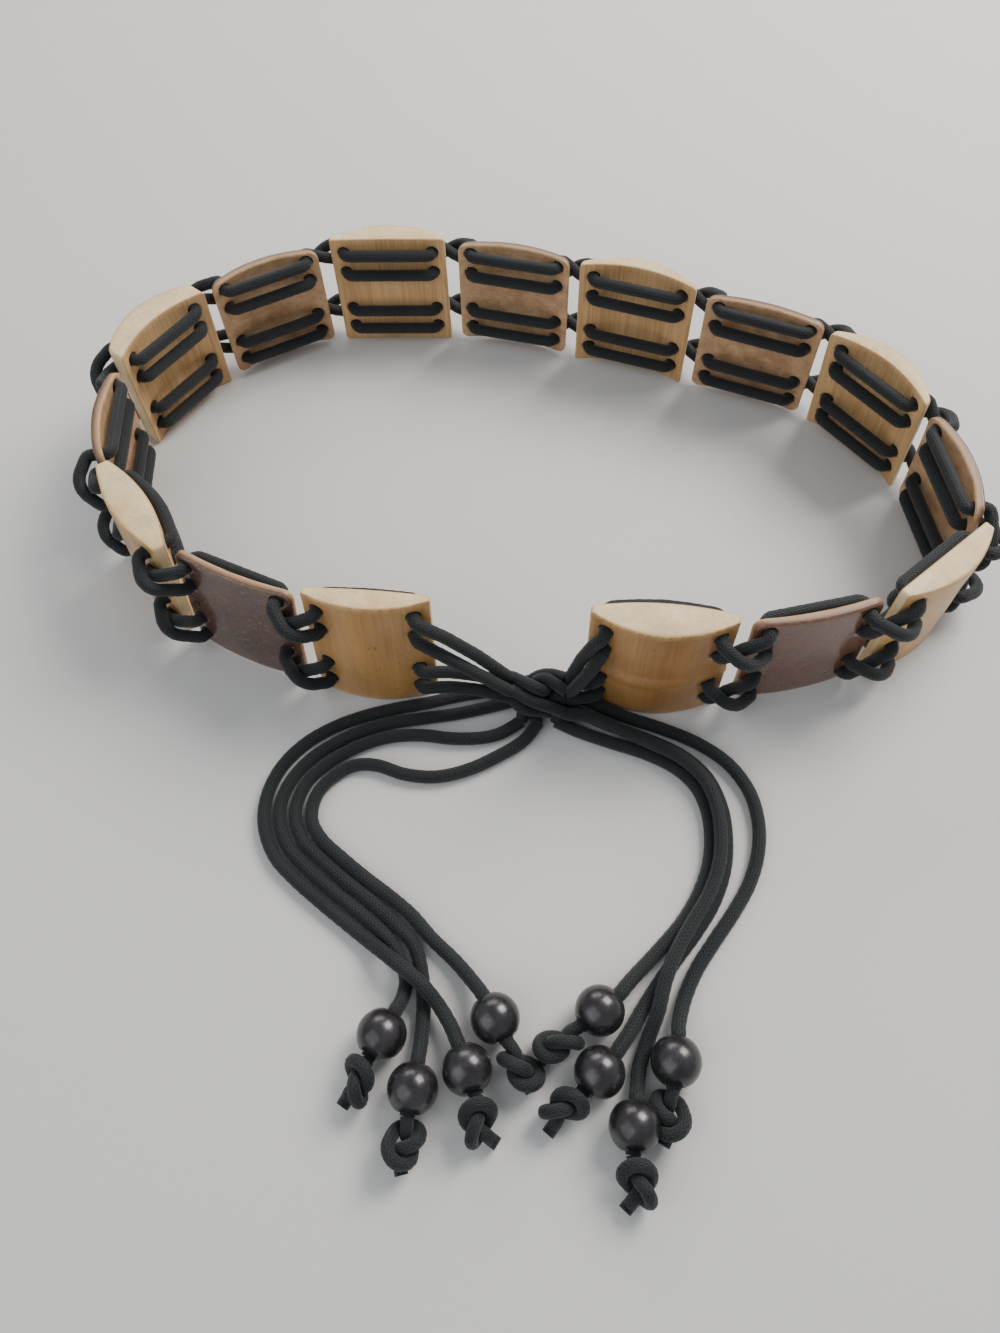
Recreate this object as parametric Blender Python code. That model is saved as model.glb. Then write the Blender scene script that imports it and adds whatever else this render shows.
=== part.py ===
# Beaded tie belt: upright plates of bamboo and coconut shell in turn, threaded on four braided
# cords. The cords run inside every plate, come out through its holes and cross in each gap.
# They are tied in front, and their eight ends lie on the surface, each with a bead and a knot.
#
# The sizes are in millimetres and become metres where points are made. The belt stands on its
# lower edge as an open loop, with +Z up and the tie towards -Y. A plate's own frame has X along
# the belt, Y outwards from the loop and Z up the plate, from the inner foot of its first side.

import math

import bmesh
import bpy
from mathutils import Matrix, Vector

MM = 0.001

BAMBOO_HEIGHT = 46.0
BAMBOO_WIDTH = 43.0
BAMBOO_WALL = 9.0
BAMBOO_BOW = 5.0
NODE_RISE = 1.2             # how far the ring at a cane joint stands out
SHELL_HEIGHT = 43.0
SHELL_WIDTH = 42.5
SHELL_WALL = 3.4
SHELL_BOW = 4.4
SHELL_CORNER = 1.2
SHELL_BARREL = 0.5          # how far a shell plate falls back at its upper and lower rim
SHELL_LIFT = 1.2            # the cords carry the shell plates clear of the surface
PLATE_GAP = 4.4
CORD_DIAMETER = 4.2
CORD_GAP = 0.3              # left between a cord and what it touches
HOLE_CLEARANCE = 0.25
BAMBOO_HOLE_INSET = 5.0
SHELL_HOLE_INSET = 4.6
HOLE_MARGIN = 0.9           # flat left past a hole before the face starts to curve
LOW_ROW = 7.0
HIGH_ROW = 32.0             # lowest row of the upper pair of cords
ROW_SPACING = 8.5
BEAD_DIAMETER = 14.0
BEAD_BORE = 5.0
END_KNOT_LENGTH = 7.4
END_KNOT_WIDTH = 8.4
TIE_LENGTH = 16.0           # of the tie knot, along the belt
TIE_DEPTH = 15.0
TIE_HEIGHT = 15.6
TIE_PLACE = (2.27, -87.75)
TIE_FORWARD = 6.5           # how far the tie hangs in front of the plates' ends
TIE_SHARE = 0.31            # its place in the front gap, from the last plate to the first
BULGE_MARGIN = 1.25         # a cord bends round a bulging inner face this much further out
SEAT_RUN = 1.5              # of a lacing cord, straight into the tie
SURFACE_GAP = 0.1           # left below a cord that lies on the surface

ARC_FACETS = 3              # across a plate between its two drilled sides
HOLE_SIDES = 6
LACING_SIDES = 6
BEAD_SIDES = 10
BEAD_ARC_STEPS = 5
END_KNOT_SIDES = 6
TIE_CORD_STEP = 10.5        # spacing of the points read along a tie cord
CURVE_STEPS = 12            # between two points of a cord's route
FRONT_STEPS = 3             # along a lacing cord between the end plates and the tie
UNDER_SHARE = 0.17          # of a crossing's depth, that its inner cord gives way by

KINDS = {
    "bamboo": {
        "height": BAMBOO_HEIGHT,
        "width": BAMBOO_WIDTH,
        "wall": BAMBOO_WALL,
        "bow": BAMBOO_BOW,
        "inset": BAMBOO_HOLE_INSET,
        "lift": 0.0,
    },
    "shell": {
        "height": SHELL_HEIGHT,
        "width": SHELL_WIDTH,
        "wall": SHELL_WALL,
        "bow": SHELL_BOW,
        "inset": SHELL_HOLE_INSET,
        "lift": SHELL_LIFT,
    },
}

# One row per plate, from the left of the tie round the back to its right. Width, edge, wall and
# bow are shares of the kind's own sizes: edge is the thickness at the plate's sides, wall at its
# middle, and bow is how far the inner face is hollowed there. Heading and inward lean are degrees.
PLATE_COLUMNS = ("kind", "width", "heading", "lean", "edge", "wall", "bow", "node")
PLATES = [
    ("bamboo", 0.93, 172, 9, 0.22, 0.92, -0.16, False),
    ("shell", 1.00, 153, 8, 0.85, 1.00, 0.40, False),
    ("bamboo", 1.00, 123, 4, 0.44, 1.35, -0.80, False),
    ("shell", 0.96, 91, 2, 0.85, 1.00, 0.80, False),
    ("bamboo", 0.96, 51, 3, 0.78, 1.07, 1.00, False),
    ("shell", 1.00, 24, 0, 0.85, 1.00, 1.05, False),
    ("bamboo", 1.03, -4, -3, 0.28, 1.00, 0.10, False),
    ("shell", 1.03, -17, -3, 0.85, 1.00, 0.90, False),
    ("bamboo", 1.03, -22, 0, 0.28, 0.58, 1.00, False),
    ("shell", 1.02, -25, 0, 0.85, 1.00, 0.55, False),
    ("bamboo", 1.00, -55, 5, 0.29, 0.67, 1.00, False),
    ("shell", 1.00, -85, 4, 0.85, 1.00, 0.95, False),
    ("bamboo", 0.94, -144, 0, 0.33, 1.00, 0.00, False),
    ("shell", 0.96, -171, 2, 0.85, 1.00, 0.35, False),
    ("bamboo", 1.03, -188, 3, 0.28, 1.39, -0.52, True),
]

# Heights of the sections of a cane with a joint in it, and how far each stands out, as shares of
# the plate's height and of the ring's rise.
NODE_SECTIONS = [
    (0.00, 0.0),
    (0.40, 0.0),
    (0.43, 1.0),
    (0.465, -0.5),
    (0.50, 0.0),
    (1.00, 0.0),
]

# Routes of the tie cords, chosen by hand, in millimetres from the foot of the tie: X, Y, and Z
# above the surface. Each ends just before its bead.
TIE_ROUTES = [
    [
        (-8.4, 3.4, 3.9), (-17, 3.4, 2.4), (-27, 2.4, 2.2), (-38, 0.4, 2.2), (-49, -1.2, 2.2),
        (-59, -3.4, 2.2), (-69, -7, 2.2), (-78, -12.4, 2.2), (-85, -20, 2.2), (-89, -29.5, 2.2),
        (-89.3, -39.5, 2.2), (-85.5, -49.5, 2.2), (-78.5, -57.5, 2.2), (-70, -65.2, 2.2),
        (-62, -72, 2.2), (-55.5, -77.5, 3), (-51.5, -81, 5.4), (-47.5, -84.5, 7.2),
        (-43, -88.2, 7.3), (-39, -92, 7.2), (-35, -97, 5.2), (-31.8, -102.5, 5),
    ],
    [
        (-8.4, -1.2, 3.9), (-17, -2.4, 2.3), (-28, -4.2, 2.2), (-39, -5.2, 2.2),
        (-49, -6.2, 2.2), (-58.5, -8.4, 2.2), (-67.2, -12.2, 2.2), (-75, -17.2, 2.2),
        (-80.9, -23.8, 2.2), (-84.2, -31.3, 2.2), (-84.4, -39, 2.2), (-81.4, -46.8, 2.2),
        (-75.2, -54, 2.2), (-66.8, -61.7, 2.2), (-59, -68.3, 2.2), (-51, -75.6, 2.2),
        (-46.9, -81.9, 2.2), (-44.6, -88.5, 2.3), (-45.4, -94.2, 4.2),
    ],
    [
        (-6.6, -8.6, 3.2), (-14, -12.2, 2.2), (-21, -13.4, 2.2), (-30, -13, 2.2),
        (-39, -11.4, 2.2), (-48.5, -11.2, 2.2), (-57, -13, 2.2), (-65, -16.4, 2.2),
        (-72, -21, 2.2), (-77, -26.6, 2.2), (-79.4, -33.2, 2.2), (-79.3, -39.4, 2.2),
        (-76.4, -45.8, 2.2), (-71, -51.4, 2.2), (-63.2, -58.7, 2.2), (-55.5, -65.2, 2.2),
        (-48, -72.3, 2.2), (-42.1, -79.4, 2.2), (-40, -88, 2.2), (-39.6, -97, 2.2),
        (-40.2, -106, 4),
    ],
    [
        (-1, -9.2, 3.2), (-6.4, -15.2, 2.2), (-15, -20.2, 2.2), (-25, -24.4, 2.2),
        (-35, -26.2, 2.2), (-45, -24.8, 2.2), (-54, -21.2, 2.2), (-61.4, -20.8, 2.2),
        (-67.8, -24, 2.2), (-72.5, -29, 2.2), (-74.4, -34.8, 2.2), (-74, -40, 2.2),
        (-70.6, -45.6, 2.2), (-64.8, -51.2, 2.2), (-57.4, -57.8, 2.2), (-49.8, -64, 2.2),
        (-43, -70.2, 2.2), (-37, -77.4, 2.2), (-30, -84.6, 2.6), (-24.4, -91.8, 4.8),
    ],
    [
        (9.3, 0.8, 3.9), (17.5, -3, 2.3), (28.5, -8.8, 2.2), (39, -13.4, 2.2),
        (49.8, -19.2, 2.2), (58.4, -26.6, 2.2), (63.6, -36, 2.2), (65, -46, 2.2),
        (63.4, -56, 2.2), (59.2, -65.6, 2.2), (53, -74.2, 2.2), (46, -82.4, 2.2),
        (39.8, -90, 2.2), (35.2, -97.6, 3), (32.2, -104.6, 5),
    ],
    [
        (4.6, -9.2, 3), (12, -13, 2.2), (22, -17.4, 2.2), (32.5, -21.8, 2.2),
        (41.4, -27.2, 2.2), (47.2, -34, 2.2), (49.6, -42, 2.2), (49.6, -50.6, 2.2),
        (47.6, -59.6, 2.2), (43.2, -68.6, 2.2), (37.2, -76.6, 2.2), (29.6, -84, 2.6),
        (20.6, -92.2, 5),
    ],
    [
        (9.3, -4.2, 3.9), (16.5, -8.2, 2.3), (25.5, -13, 2.2), (35, -17.6, 2.2),
        (44.4, -23.4, 2.2), (51.2, -31.2, 2.2), (54.3, -41.2, 2.2), (54.3, -51.2, 2.2),
        (52.2, -61.2, 2.2), (47.6, -70.8, 2.2), (41.2, -79.2, 2.2), (34.6, -86.4, 2.2),
        (28.4, -93.4, 2.2), (23, -100.2, 2.6), (18.6, -106.2, 4.6),
    ],
    [
        (8, -9, 7.6), (17, -10.4, 6.6), (27, -16, 6.1), (34, -19.8, 6.1),
        (42.9, -25.3, 6.1), (49.3, -32.6, 6.1), (52, -41.6, 6.1), (52, -50.9, 6.1),
        (50, -60.4, 6.1), (45.4, -69.7, 6.1), (39.2, -78, 6.2), (33.6, -86, 6.8),
        (29.4, -94, 6.9), (26.6, -101.6, 6.4), (23, -109, 3.4), (19.8, -116.2, 3),
        (18.4, -122, 5.2),
    ],
]

# Where each tie cord's bead lies from the foot of the tie, and the heading of its bore in degrees.
BEAD_COLUMNS = ("x", "y", "heading")
BEADS = [
    (-27.4, -114.3, -71),
    (-50.9, -104.1, -122),
    (-42.3, -118.4, -102),
    (-19.2, -101.4, -64),
    (29.7, -115.0, -103),
    (10.2, -100.8, -146),
    (8.6, -116.8, -137),
    (16.7, -130.4, -100),
]

# Sections of the tie knot along the belt: place, depth and height as shares of its half sizes.
TIE_SECTIONS = [
    (-1.00, 0.76, 0.72),
    (-0.62, 0.98, 0.96),
    (-0.10, 0.88, 0.90),
    (0.45, 1.00, 1.00),
    (1.00, 0.78, 0.74),
]
TIE_CORNER = 0.36           # share of a section's half sizes that its corners are cut by

# Sections of an end knot along its cord: place, width and height as shares of its half sizes.
END_KNOT_SECTIONS = [
    (-1.00, 0.52, 0.52),
    (-0.60, 0.96, 0.94),
    (0.00, 0.82, 0.84),
    (0.50, 1.00, 0.98),
    (1.00, 0.46, 0.46),
]

# Where the lacing cords meet the tie, lowest row first: forward and up from the tie's middle, and
# how far the cord arches forward and up from a straight line on its way there.
LEFT_SEATS = [
    (2.6, 0.8, 0.0, 4.0),
    (-2.4, 0.8, 0.0, 4.0),
    (2.6, 5.6, 1.0, 2.0),
    (-2.4, 5.6, 0.0, 3.0),
]
RIGHT_SEATS = [
    (3.8, 0.8, 0.5, 0.0),
    (-1.2, 0.8, 0.0, -1.0),
    (3.8, 5.6, 2.0, 3.0),
    (-1.2, 5.6, 0.0, 5.0),
]

cordRadius = CORD_DIAMETER / 2
ROWS = (LOW_ROW, LOW_ROW + ROW_SPACING, HIGH_ROW, HIGH_ROW + ROW_SPACING)


def make_material(name, colour, roughness, metallic=0.0):
    material = bpy.data.materials.new(name)
    material.use_nodes = True
    shader = material.node_tree.nodes["Principled BSDF"]
    shader.inputs["Base Color"].default_value = (*colour, 1)
    shader.inputs["Roughness"].default_value = roughness
    shader.inputs["Metallic"].default_value = metallic
    return material


def add_object(name, bm, material=None, smooth_angle=math.radians(35)):
    """A new object from a finished bmesh, whose points are already metres."""
    mesh = bpy.data.meshes.new(name)
    bmesh.ops.recalc_face_normals(bm, faces=bm.faces)
    bm.to_mesh(mesh)
    bm.free()
    mesh.shade_smooth()
    mesh.set_sharp_from_angle(angle=smooth_angle)
    if material:
        mesh.materials.append(material)
    obj = bpy.data.objects.new(name, mesh)
    bpy.context.scene.collection.objects.link(obj)
    return obj


def skin_rings(bm, rings, closed=False, capped=True):
    """Quads from each ring of points to the next, with the two ends capped."""
    count = len(rings[0])
    made = [[bm.verts.new(point) for point in ring] for ring in rings]
    pairs = list(zip(made, made[1:]))
    if closed:
        pairs.append((made[-1], made[0]))
    for low, high in pairs:
        for i in range(count):
            j = (i + 1) % count
            bm.faces.new((low[i], low[j], high[j], high[i]))
    if capped and not closed:
        bm.faces.new(made[0][::-1])
        bm.faces.new(made[-1])
    return made


def plate_row(index):
    """A row of the plate table with its sizes in millimetres."""
    row = dict(zip(PLATE_COLUMNS, PLATES[index]))
    kind = KINDS[row["kind"]]
    width = row["width"] * kind["width"]
    facet = kind["inset"] + cordRadius + HOLE_CLEARANCE + HOLE_MARGIN
    step = (width - 2 * facet) / ARC_FACETS
    row.update(
        width=width,
        edge=row["edge"] * kind["wall"],
        wall=row["wall"] * kind["wall"],
        bow=row["bow"] * kind["bow"],
        inset=kind["inset"],
        height=kind["height"],
        lift=kind["lift"],
        stations=[0.0, *(facet + i * step for i in range(ARC_FACETS + 1)), width],
    )
    return row


def arc_share(row, x):
    return 1 - (2 * x / row["width"] - 1) ** 2


def inner_y(row, x):
    return row["bow"] * arc_share(row, x)


def outer_y(row, x):
    rise = row["bow"] + row["wall"] - row["edge"]
    return row["edge"] + rise * arc_share(row, x)


def faceted(row, x, surface):
    """The height of a plate's faceted surface at x, between two of its stations."""
    stations = row["stations"]
    for low, high in zip(stations, stations[1:]):
        if x <= high:
            break
    share = (x - low) / (high - low)
    return surface(row, low) * (1 - share) + surface(row, high) * share


def plate_levels(row):
    """Each level of a plate: its height, how far its sides draw in, and how far it stands out."""
    height = row["height"]
    if row["kind"] == "shell":
        return [
            (0.0, SHELL_CORNER, -SHELL_BARREL),
            (SHELL_CORNER, 0.0, 0.0),
            (height - SHELL_CORNER, 0.0, 0.0),
            (height, SHELL_CORNER, -SHELL_BARREL),
        ]
    if row["node"]:
        return [(share * height, 0.0, rise * NODE_RISE) for share, rise in NODE_SECTIONS]
    return [(0.0, 0.0, 0.0), (height, 0.0, 0.0)]


def plate_pose(row, start):
    """Where a plate's own frame stands, with its lowest point on its own level."""
    heading = math.radians(row["heading"])
    lean = math.radians(row["lean"])
    deepest = max(0.0, *(-y * math.sin(lean) for y in (row["bow"], row["bow"] + row["wall"])))
    place = Vector((start.x, start.y, row["lift"] + deepest))
    turn = Matrix.Rotation(heading, 4, "Z") @ Matrix.Rotation(lean, 4, "X")
    return Matrix.Translation(place) @ turn


def laid_out():
    """Every plate's row with its pose. The tie's place settles where the loop stands."""
    rows = [plate_row(i) for i in range(len(PLATES))]
    ends = []
    point = Vector((0, 0))
    before = rows[0]["heading"]
    for row in rows:
        if ends:
            turn = math.radians((before + row["heading"]) / 2)
            point = point + PLATE_GAP * Vector((math.cos(turn), math.sin(turn)))
        heading = math.radians(row["heading"])
        end = point + row["width"] * Vector((math.cos(heading), math.sin(heading)))
        ends.append((point, end))
        point = end
        before = row["heading"]
    tie = ends[-1][1].lerp(ends[0][0], TIE_SHARE) - Vector((0, TIE_FORWARD))
    shift = Vector(TIE_PLACE) - tie
    for row, (start, _) in zip(rows, ends):
        row["pose"] = plate_pose(row, start + shift)
    return rows


def add_plate(name, row, material):
    """A plate lofted through its levels, with a row of holes drilled at each side."""
    bm = bmesh.new()
    rings = []
    for height, draw_in, out in plate_levels(row):
        stations = [draw_in, *row["stations"][1:-1], row["width"] - draw_in]
        ring = [(x, outer_y(row, x) + out, height) for x in stations]
        drop = out if row["kind"] == "shell" else 0.0
        ring += [(x, inner_y(row, x) + drop, height) for x in reversed(stations)]
        rings.append([Vector(point) * MM for point in ring])
    made = skin_rings(bm, rings, capped=False)
    last = len(rings[0]) - 1
    for ring in (made[0], made[-1]):
        for i in range(len(row["stations"]) - 1):
            bm.faces.new((ring[i], ring[i + 1], ring[last - i - 1], ring[last - i]))
    plate = add_object(name, bm, material)
    drill = add_drill(name + "_drill", row)
    cut = plate.modifiers.new("cord_holes", "BOOLEAN")
    cut.operation = "DIFFERENCE"
    cut.object = drill
    for obj in (plate, drill):
        pose = row["pose"].copy()
        pose.translation *= MM
        obj.matrix_world = pose
    return plate


def add_drill(name, row):
    """The cutter of a plate's eight holes, each a prism across the plate's wall."""
    bm = bmesh.new()
    radius = (cordRadius + HOLE_CLEARANCE) / math.cos(math.pi / HOLE_SIDES)
    reach = row["wall"] + abs(row["bow"]) + row["edge"]
    for x in (row["inset"], row["width"] - row["inset"]):
        for z in row_heights(row):
            rings = []
            for y in (-reach, 2 * reach):
                ring = []
                for i in range(HOLE_SIDES):
                    angle = 2 * math.pi * i / HOLE_SIDES
                    across = Vector((math.cos(angle), 0, math.sin(angle))) * radius
                    ring.append((Vector((x, y, z)) + across) * MM)
                rings.append(ring)
            skin_rings(bm, rings)
    drill = add_object(name, bm)
    drill.hide_render = True
    drill.display_type = "WIRE"
    return drill


def row_heights(row):
    return [height - row["lift"] for height in ROWS]


def mouth(row, x, cord_row, surface, side):
    """Where a cord bends at a hole's mouth, clear of the plate's face."""
    y = faceted(row, x, surface) + side * (cordRadius + CORD_GAP)
    return row["pose"] @ Vector((x, y, row_heights(row)[cord_row]))


def inner_run(row, cord_row):
    """A cord's points from the outer mouth of a plate's first hole to that of its last."""
    first, last = row["inset"], row["width"] - row["inset"]
    points = [mouth(row, first, cord_row, outer_y, 1), mouth(row, first, cord_row, inner_y, -1)]
    if row["bow"] < 0:
        y = row["bow"] * BULGE_MARGIN - cordRadius - CORD_GAP
        height = row_heights(row)[cord_row]
        points.append(row["pose"] @ Vector((row["width"] / 2, y, height)))
    points += [mouth(row, last, cord_row, inner_y, -1), mouth(row, last, cord_row, outer_y, 1)]
    return points


def past_edge(row, x, mouth_point, start, end):
    """How far outside a plate's edge a cord passes from start to end, in plan, by its own hole."""
    height = (row["pose"].inverted() @ mouth_point).z
    edge = row["pose"] @ Vector((x, row["edge"], height))
    way = (end - start).xy.normalized()
    return -way.cross((edge - start).xy)


def crossing(row, after, start, end, over):
    """The middle of a cord's way across a gap, outside its neighbour or inside it."""
    clear = CORD_DIAMETER + 4 * CORD_GAP
    lift = ROW_SPACING * clear / math.sqrt(ROW_SPACING**2 - clear**2)
    outward = row["pose"].col[1].xyz + after["pose"].col[1].xyz
    outward.z = 0
    outward.normalize()
    middle = (start + end) / 2 - outward * lift * UNDER_SHARE
    needed = cordRadius + CORD_GAP
    while (
        past_edge(row, row["width"], start, start, middle) < needed
        or past_edge(after, 0.0, end, middle, end) < needed
    ):
        middle = middle + outward * CORD_GAP
    return middle + outward * lift if over else middle


def tie_middle():
    return Vector((*TIE_PLACE, TIE_HEIGHT / 2 + SURFACE_GAP))


def front_span(start, seat, side):
    """Points of a lacing cord between an end plate and the tie, arched a little."""
    forward, height, arch_forward, arch_up = seat
    end = tie_middle() + Vector((side * (TIE_LENGTH / 2 + CORD_GAP), -forward, height))
    turn = end + Vector((side * SEAT_RUN, 0, 0))
    points = []
    for i in range(1, FRONT_STEPS + 1):
        share = i / FRONT_STEPS
        arch = Vector((0, -arch_forward, arch_up)) * 4 * share * (1 - share)
        points.append(start.lerp(turn, share) + arch)
    return [*points, end]


def lacing_points(rows, cord):
    """A lacing cord's whole way, from the tie's left round the belt to its right."""
    cord_row = cord
    points = []
    for index, row in enumerate(rows):
        run = inner_run(row, cord_row)
        if index:
            over = cord_row % 2 == 1
            points.append(crossing(rows[index - 1], row, points[-1], run[0], over))
        points += run
        last_row = cord_row
        cord_row ^= 1
    lead = front_span(points[0], LEFT_SEATS[cord], -1)
    tail = front_span(points[-1], RIGHT_SEATS[last_row], 1)
    return lead[::-1] + points + tail


def mitred_tube(bm, points, radius, sides):
    """A closed tube whose rings lie in the planes that halve its bends, so it stays full round."""
    ways = [(b - a).normalized() for a, b in zip(points, points[1:])]
    across = ways[0].orthogonal().normalized()
    along = ways[0].cross(across)
    ring = []
    for i in range(sides):
        angle = 2 * math.pi * i / sides
        ring.append(points[0] + (across * math.cos(angle) + along * math.sin(angle)) * radius)
    rings = [ring]
    for i, point in enumerate(points[1:], 1):
        way = ways[i - 1]
        plane = way + (ways[i] if i < len(ways) else way)
        ring = [p + way * ((point - p).dot(plane) / way.dot(plane)) for p in ring]
        rings.append(ring)
    skin_rings(bm, [[point * MM for point in ring] for ring in rings])


def add_lacing(rows, cord, material):
    bm = bmesh.new()
    mitred_tube(bm, lacing_points(rows, cord), cordRadius, LACING_SIDES)
    return add_object(f"lacing_cord_{cord + 1}", bm, material)


def smooth_through(points):
    """A smooth curve through hand-chosen points, finely divided."""
    first = points[0] * 2 - points[1]
    last = points[-1] * 2 - points[-2]
    ends = [first, *points, last]
    curve = []
    for i in range(1, len(ends) - 2):
        a, b, c, d = ends[i - 1 : i + 3]
        for step in range(CURVE_STEPS):
            t = step / CURVE_STEPS
            bend = b * 2 + (c - a) * t + (a * 2 - b * 5 + c * 4 - d) * t**2
            curve.append((bend + (b * 3 - a - c * 3 + d) * t**3) / 2)
    return [*curve, points[-1]]


def evenly_spaced(curve, step):
    """Points read along a curve at even distances, about one step apart."""
    lengths = [(b - a).length for a, b in zip(curve, curve[1:])]
    count = round(sum(lengths) / step)
    stride = sum(lengths) / count
    points = [curve[0]]
    gone = 0.0
    for a, b, length in zip(curve, curve[1:], lengths):
        while len(points) < count and len(points) * stride <= gone + length:
            points.append(a.lerp(b, (len(points) * stride - gone) / length))
        gone += length
    return [*points, curve[-1]]


def lay_along(obj, place, way):
    """Sets an object down with its own X axis along a way over the surface."""
    turn = way.to_track_quat("X", "Z").to_matrix().to_4x4()
    obj.matrix_world = Matrix.Translation(place * MM) @ turn
    return obj


def bead_seat(index):
    """A bead's middle and the way that its bore points, away from the tie."""
    bead = dict(zip(BEAD_COLUMNS, BEADS[index]))
    heading = math.radians(bead["heading"])
    x, y = TIE_PLACE
    middle = Vector((x + bead["x"], y + bead["y"], BEAD_DIAMETER / 2))
    return middle, Vector((math.cos(heading), math.sin(heading), 0))


def add_tie_cord(index, material):
    """A loose end of the lacing, from the tie through its bead to the end knot."""
    middle, way = bead_seat(index)
    foot = Vector((*TIE_PLACE, 0))
    route = [foot + Vector(point) for point in TIE_ROUTES[index]]
    half = way * BEAD_DIAMETER / 2
    route.append(middle - half)
    points = evenly_spaced(smooth_through(route), TIE_CORD_STEP)
    points.append(middle + half - way * CORD_GAP)
    lowest = cordRadius + SURFACE_GAP
    curve = bpy.data.curves.new(f"tie_cord_{index + 1}", "CURVE")
    curve.dimensions = "3D"
    curve.bevel_depth = cordRadius * MM
    curve.bevel_resolution = 2
    curve.use_fill_caps = True
    spline = curve.splines.new("POLY")
    spline.points.add(len(points) - 1)
    for place, point in zip(spline.points, points):
        place.co = (point.x * MM, point.y * MM, max(point.z, lowest) * MM, 1)
    curve.materials.append(material)
    obj = bpy.data.objects.new(curve.name, curve)
    bpy.context.scene.collection.objects.link(obj)
    return obj


def add_bead(index, material):
    """A round bead turned about its bore."""
    bm = bmesh.new()
    radius = BEAD_DIAMETER / 2
    bore = BEAD_BORE / 2
    reach = math.acos(bore / radius)
    profile = []
    for i in range(BEAD_ARC_STEPS + 1):
        angle = reach * (2 * i / BEAD_ARC_STEPS - 1)
        profile.append((radius * math.sin(angle), radius * math.cos(angle)))
    rings = []
    for along, out in profile:
        ring = []
        for i in range(BEAD_SIDES):
            angle = 2 * math.pi * i / BEAD_SIDES
            ring.append(Vector((along, out * math.cos(angle), out * math.sin(angle))) * MM)
        rings.append(ring)
    skin_rings(bm, rings, closed=True)
    bead = add_object(f"tie_bead_{index + 1}", bm, material, math.radians(60))
    return lay_along(bead, *bead_seat(index))


def add_end_knot(index, material):
    """The knot that stops a bead, a lumpy round form that touches the surface."""
    bm = bmesh.new()
    rings = []
    for along, wide, high in END_KNOT_SECTIONS:
        ring = []
        for i in range(END_KNOT_SIDES):
            angle = 2 * math.pi * (i + 0.5) / END_KNOT_SIDES
            across = math.cos(angle) * wide * END_KNOT_WIDTH / 2
            up = math.sin(angle) * high * END_KNOT_WIDTH / 2
            ring.append(Vector((along * END_KNOT_LENGTH / 2, across, up)) * MM)
        rings.append(ring)
    skin_rings(bm, rings)
    knot = add_object(f"end_knot_{index + 1}", bm, material)
    middle, way = bead_seat(index)
    place = middle + way * (BEAD_DIAMETER / 2 + CORD_GAP + END_KNOT_LENGTH / 2)
    place.z = END_KNOT_WIDTH / 2 + SURFACE_GAP
    return lay_along(knot, place, way)


def add_tie_knot(material):
    """The half knot in front, a body of eight-sided sections along the belt."""
    bm = bmesh.new()
    rings = []
    cut = 1 - TIE_CORNER
    corners = [(1, cut), (cut, 1), (-cut, 1), (-1, cut), (-1, -cut), (-cut, -1), (cut, -1), (1, -cut)]
    for along, deep, high in TIE_SECTIONS:
        ring = []
        for y, z in corners:
            place = Vector((along * TIE_LENGTH, y * deep * TIE_DEPTH, z * high * TIE_HEIGHT)) / 2
            ring.append(place * MM)
        rings.append(ring)
    skin_rings(bm, rings)
    knot = add_object("tie_knot", bm, material)
    knot.location = tie_middle() * MM
    return knot


def main():
    for obj in list(bpy.data.objects):
        bpy.data.objects.remove(obj)
    materials = {
        "bamboo": make_material("bamboo", (0.53, 0.27, 0.085), 0.38),
        "shell": make_material("coconut_shell", (0.075, 0.035, 0.024), 0.3),
        "cord": make_material("braided_cord", (0.008, 0.010, 0.011), 0.8),
        "bead": make_material("satin_bead", (0.05, 0.045, 0.048), 0.3, 0.7),
    }
    rows = laid_out()
    made = {kind: 0 for kind in KINDS}
    for row in rows:
        kind = row["kind"]
        made[kind] += 1
        add_plate(f"{kind}_plate_{made[kind]}", row, materials[kind])
    for cord in range(len(ROWS)):
        add_lacing(rows, cord, materials["cord"])
    add_tie_knot(materials["cord"])
    for index in range(len(BEADS)):
        add_tie_cord(index, materials["cord"])
        add_bead(index, materials["bead"])
        add_end_knot(index, materials["cord"])


main()
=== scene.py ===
import math

import bmesh
import bpy
import numpy as np
from mathutils import Matrix, Vector
from mathutils.geometry import delaunay_2d_cdt


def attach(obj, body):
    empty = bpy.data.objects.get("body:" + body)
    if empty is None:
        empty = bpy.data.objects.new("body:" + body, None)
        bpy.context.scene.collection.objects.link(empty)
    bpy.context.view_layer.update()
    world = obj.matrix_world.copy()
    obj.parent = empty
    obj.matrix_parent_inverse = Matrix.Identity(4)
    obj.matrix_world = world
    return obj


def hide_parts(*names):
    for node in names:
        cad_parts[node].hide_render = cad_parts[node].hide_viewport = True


# The lengths in the dictionaries are millimetres, and a point becomes metres when its mesh is made.
# The belt stands on its lower edge, with the tie towards -Y.
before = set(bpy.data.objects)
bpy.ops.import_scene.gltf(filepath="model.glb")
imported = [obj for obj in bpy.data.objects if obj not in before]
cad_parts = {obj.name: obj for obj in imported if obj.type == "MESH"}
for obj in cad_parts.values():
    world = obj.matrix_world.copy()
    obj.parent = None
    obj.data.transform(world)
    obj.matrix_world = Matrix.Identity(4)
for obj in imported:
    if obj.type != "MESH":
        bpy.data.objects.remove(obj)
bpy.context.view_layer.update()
mm = 0.001
print("frame loaded:", len(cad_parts), "nodes")


# Small helpers for node trees

def addNode(tree, kind, inputs=None, **settings):
    node = tree.nodes.new(kind)
    for name, value in settings.items():
        setattr(node, name, value)
    for name, value in (inputs or {}).items():
        if isinstance(value, bpy.types.NodeSocket):
            tree.links.new(value, node.inputs[name])
        else:
            node.inputs[name].default_value = value
    return node


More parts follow.
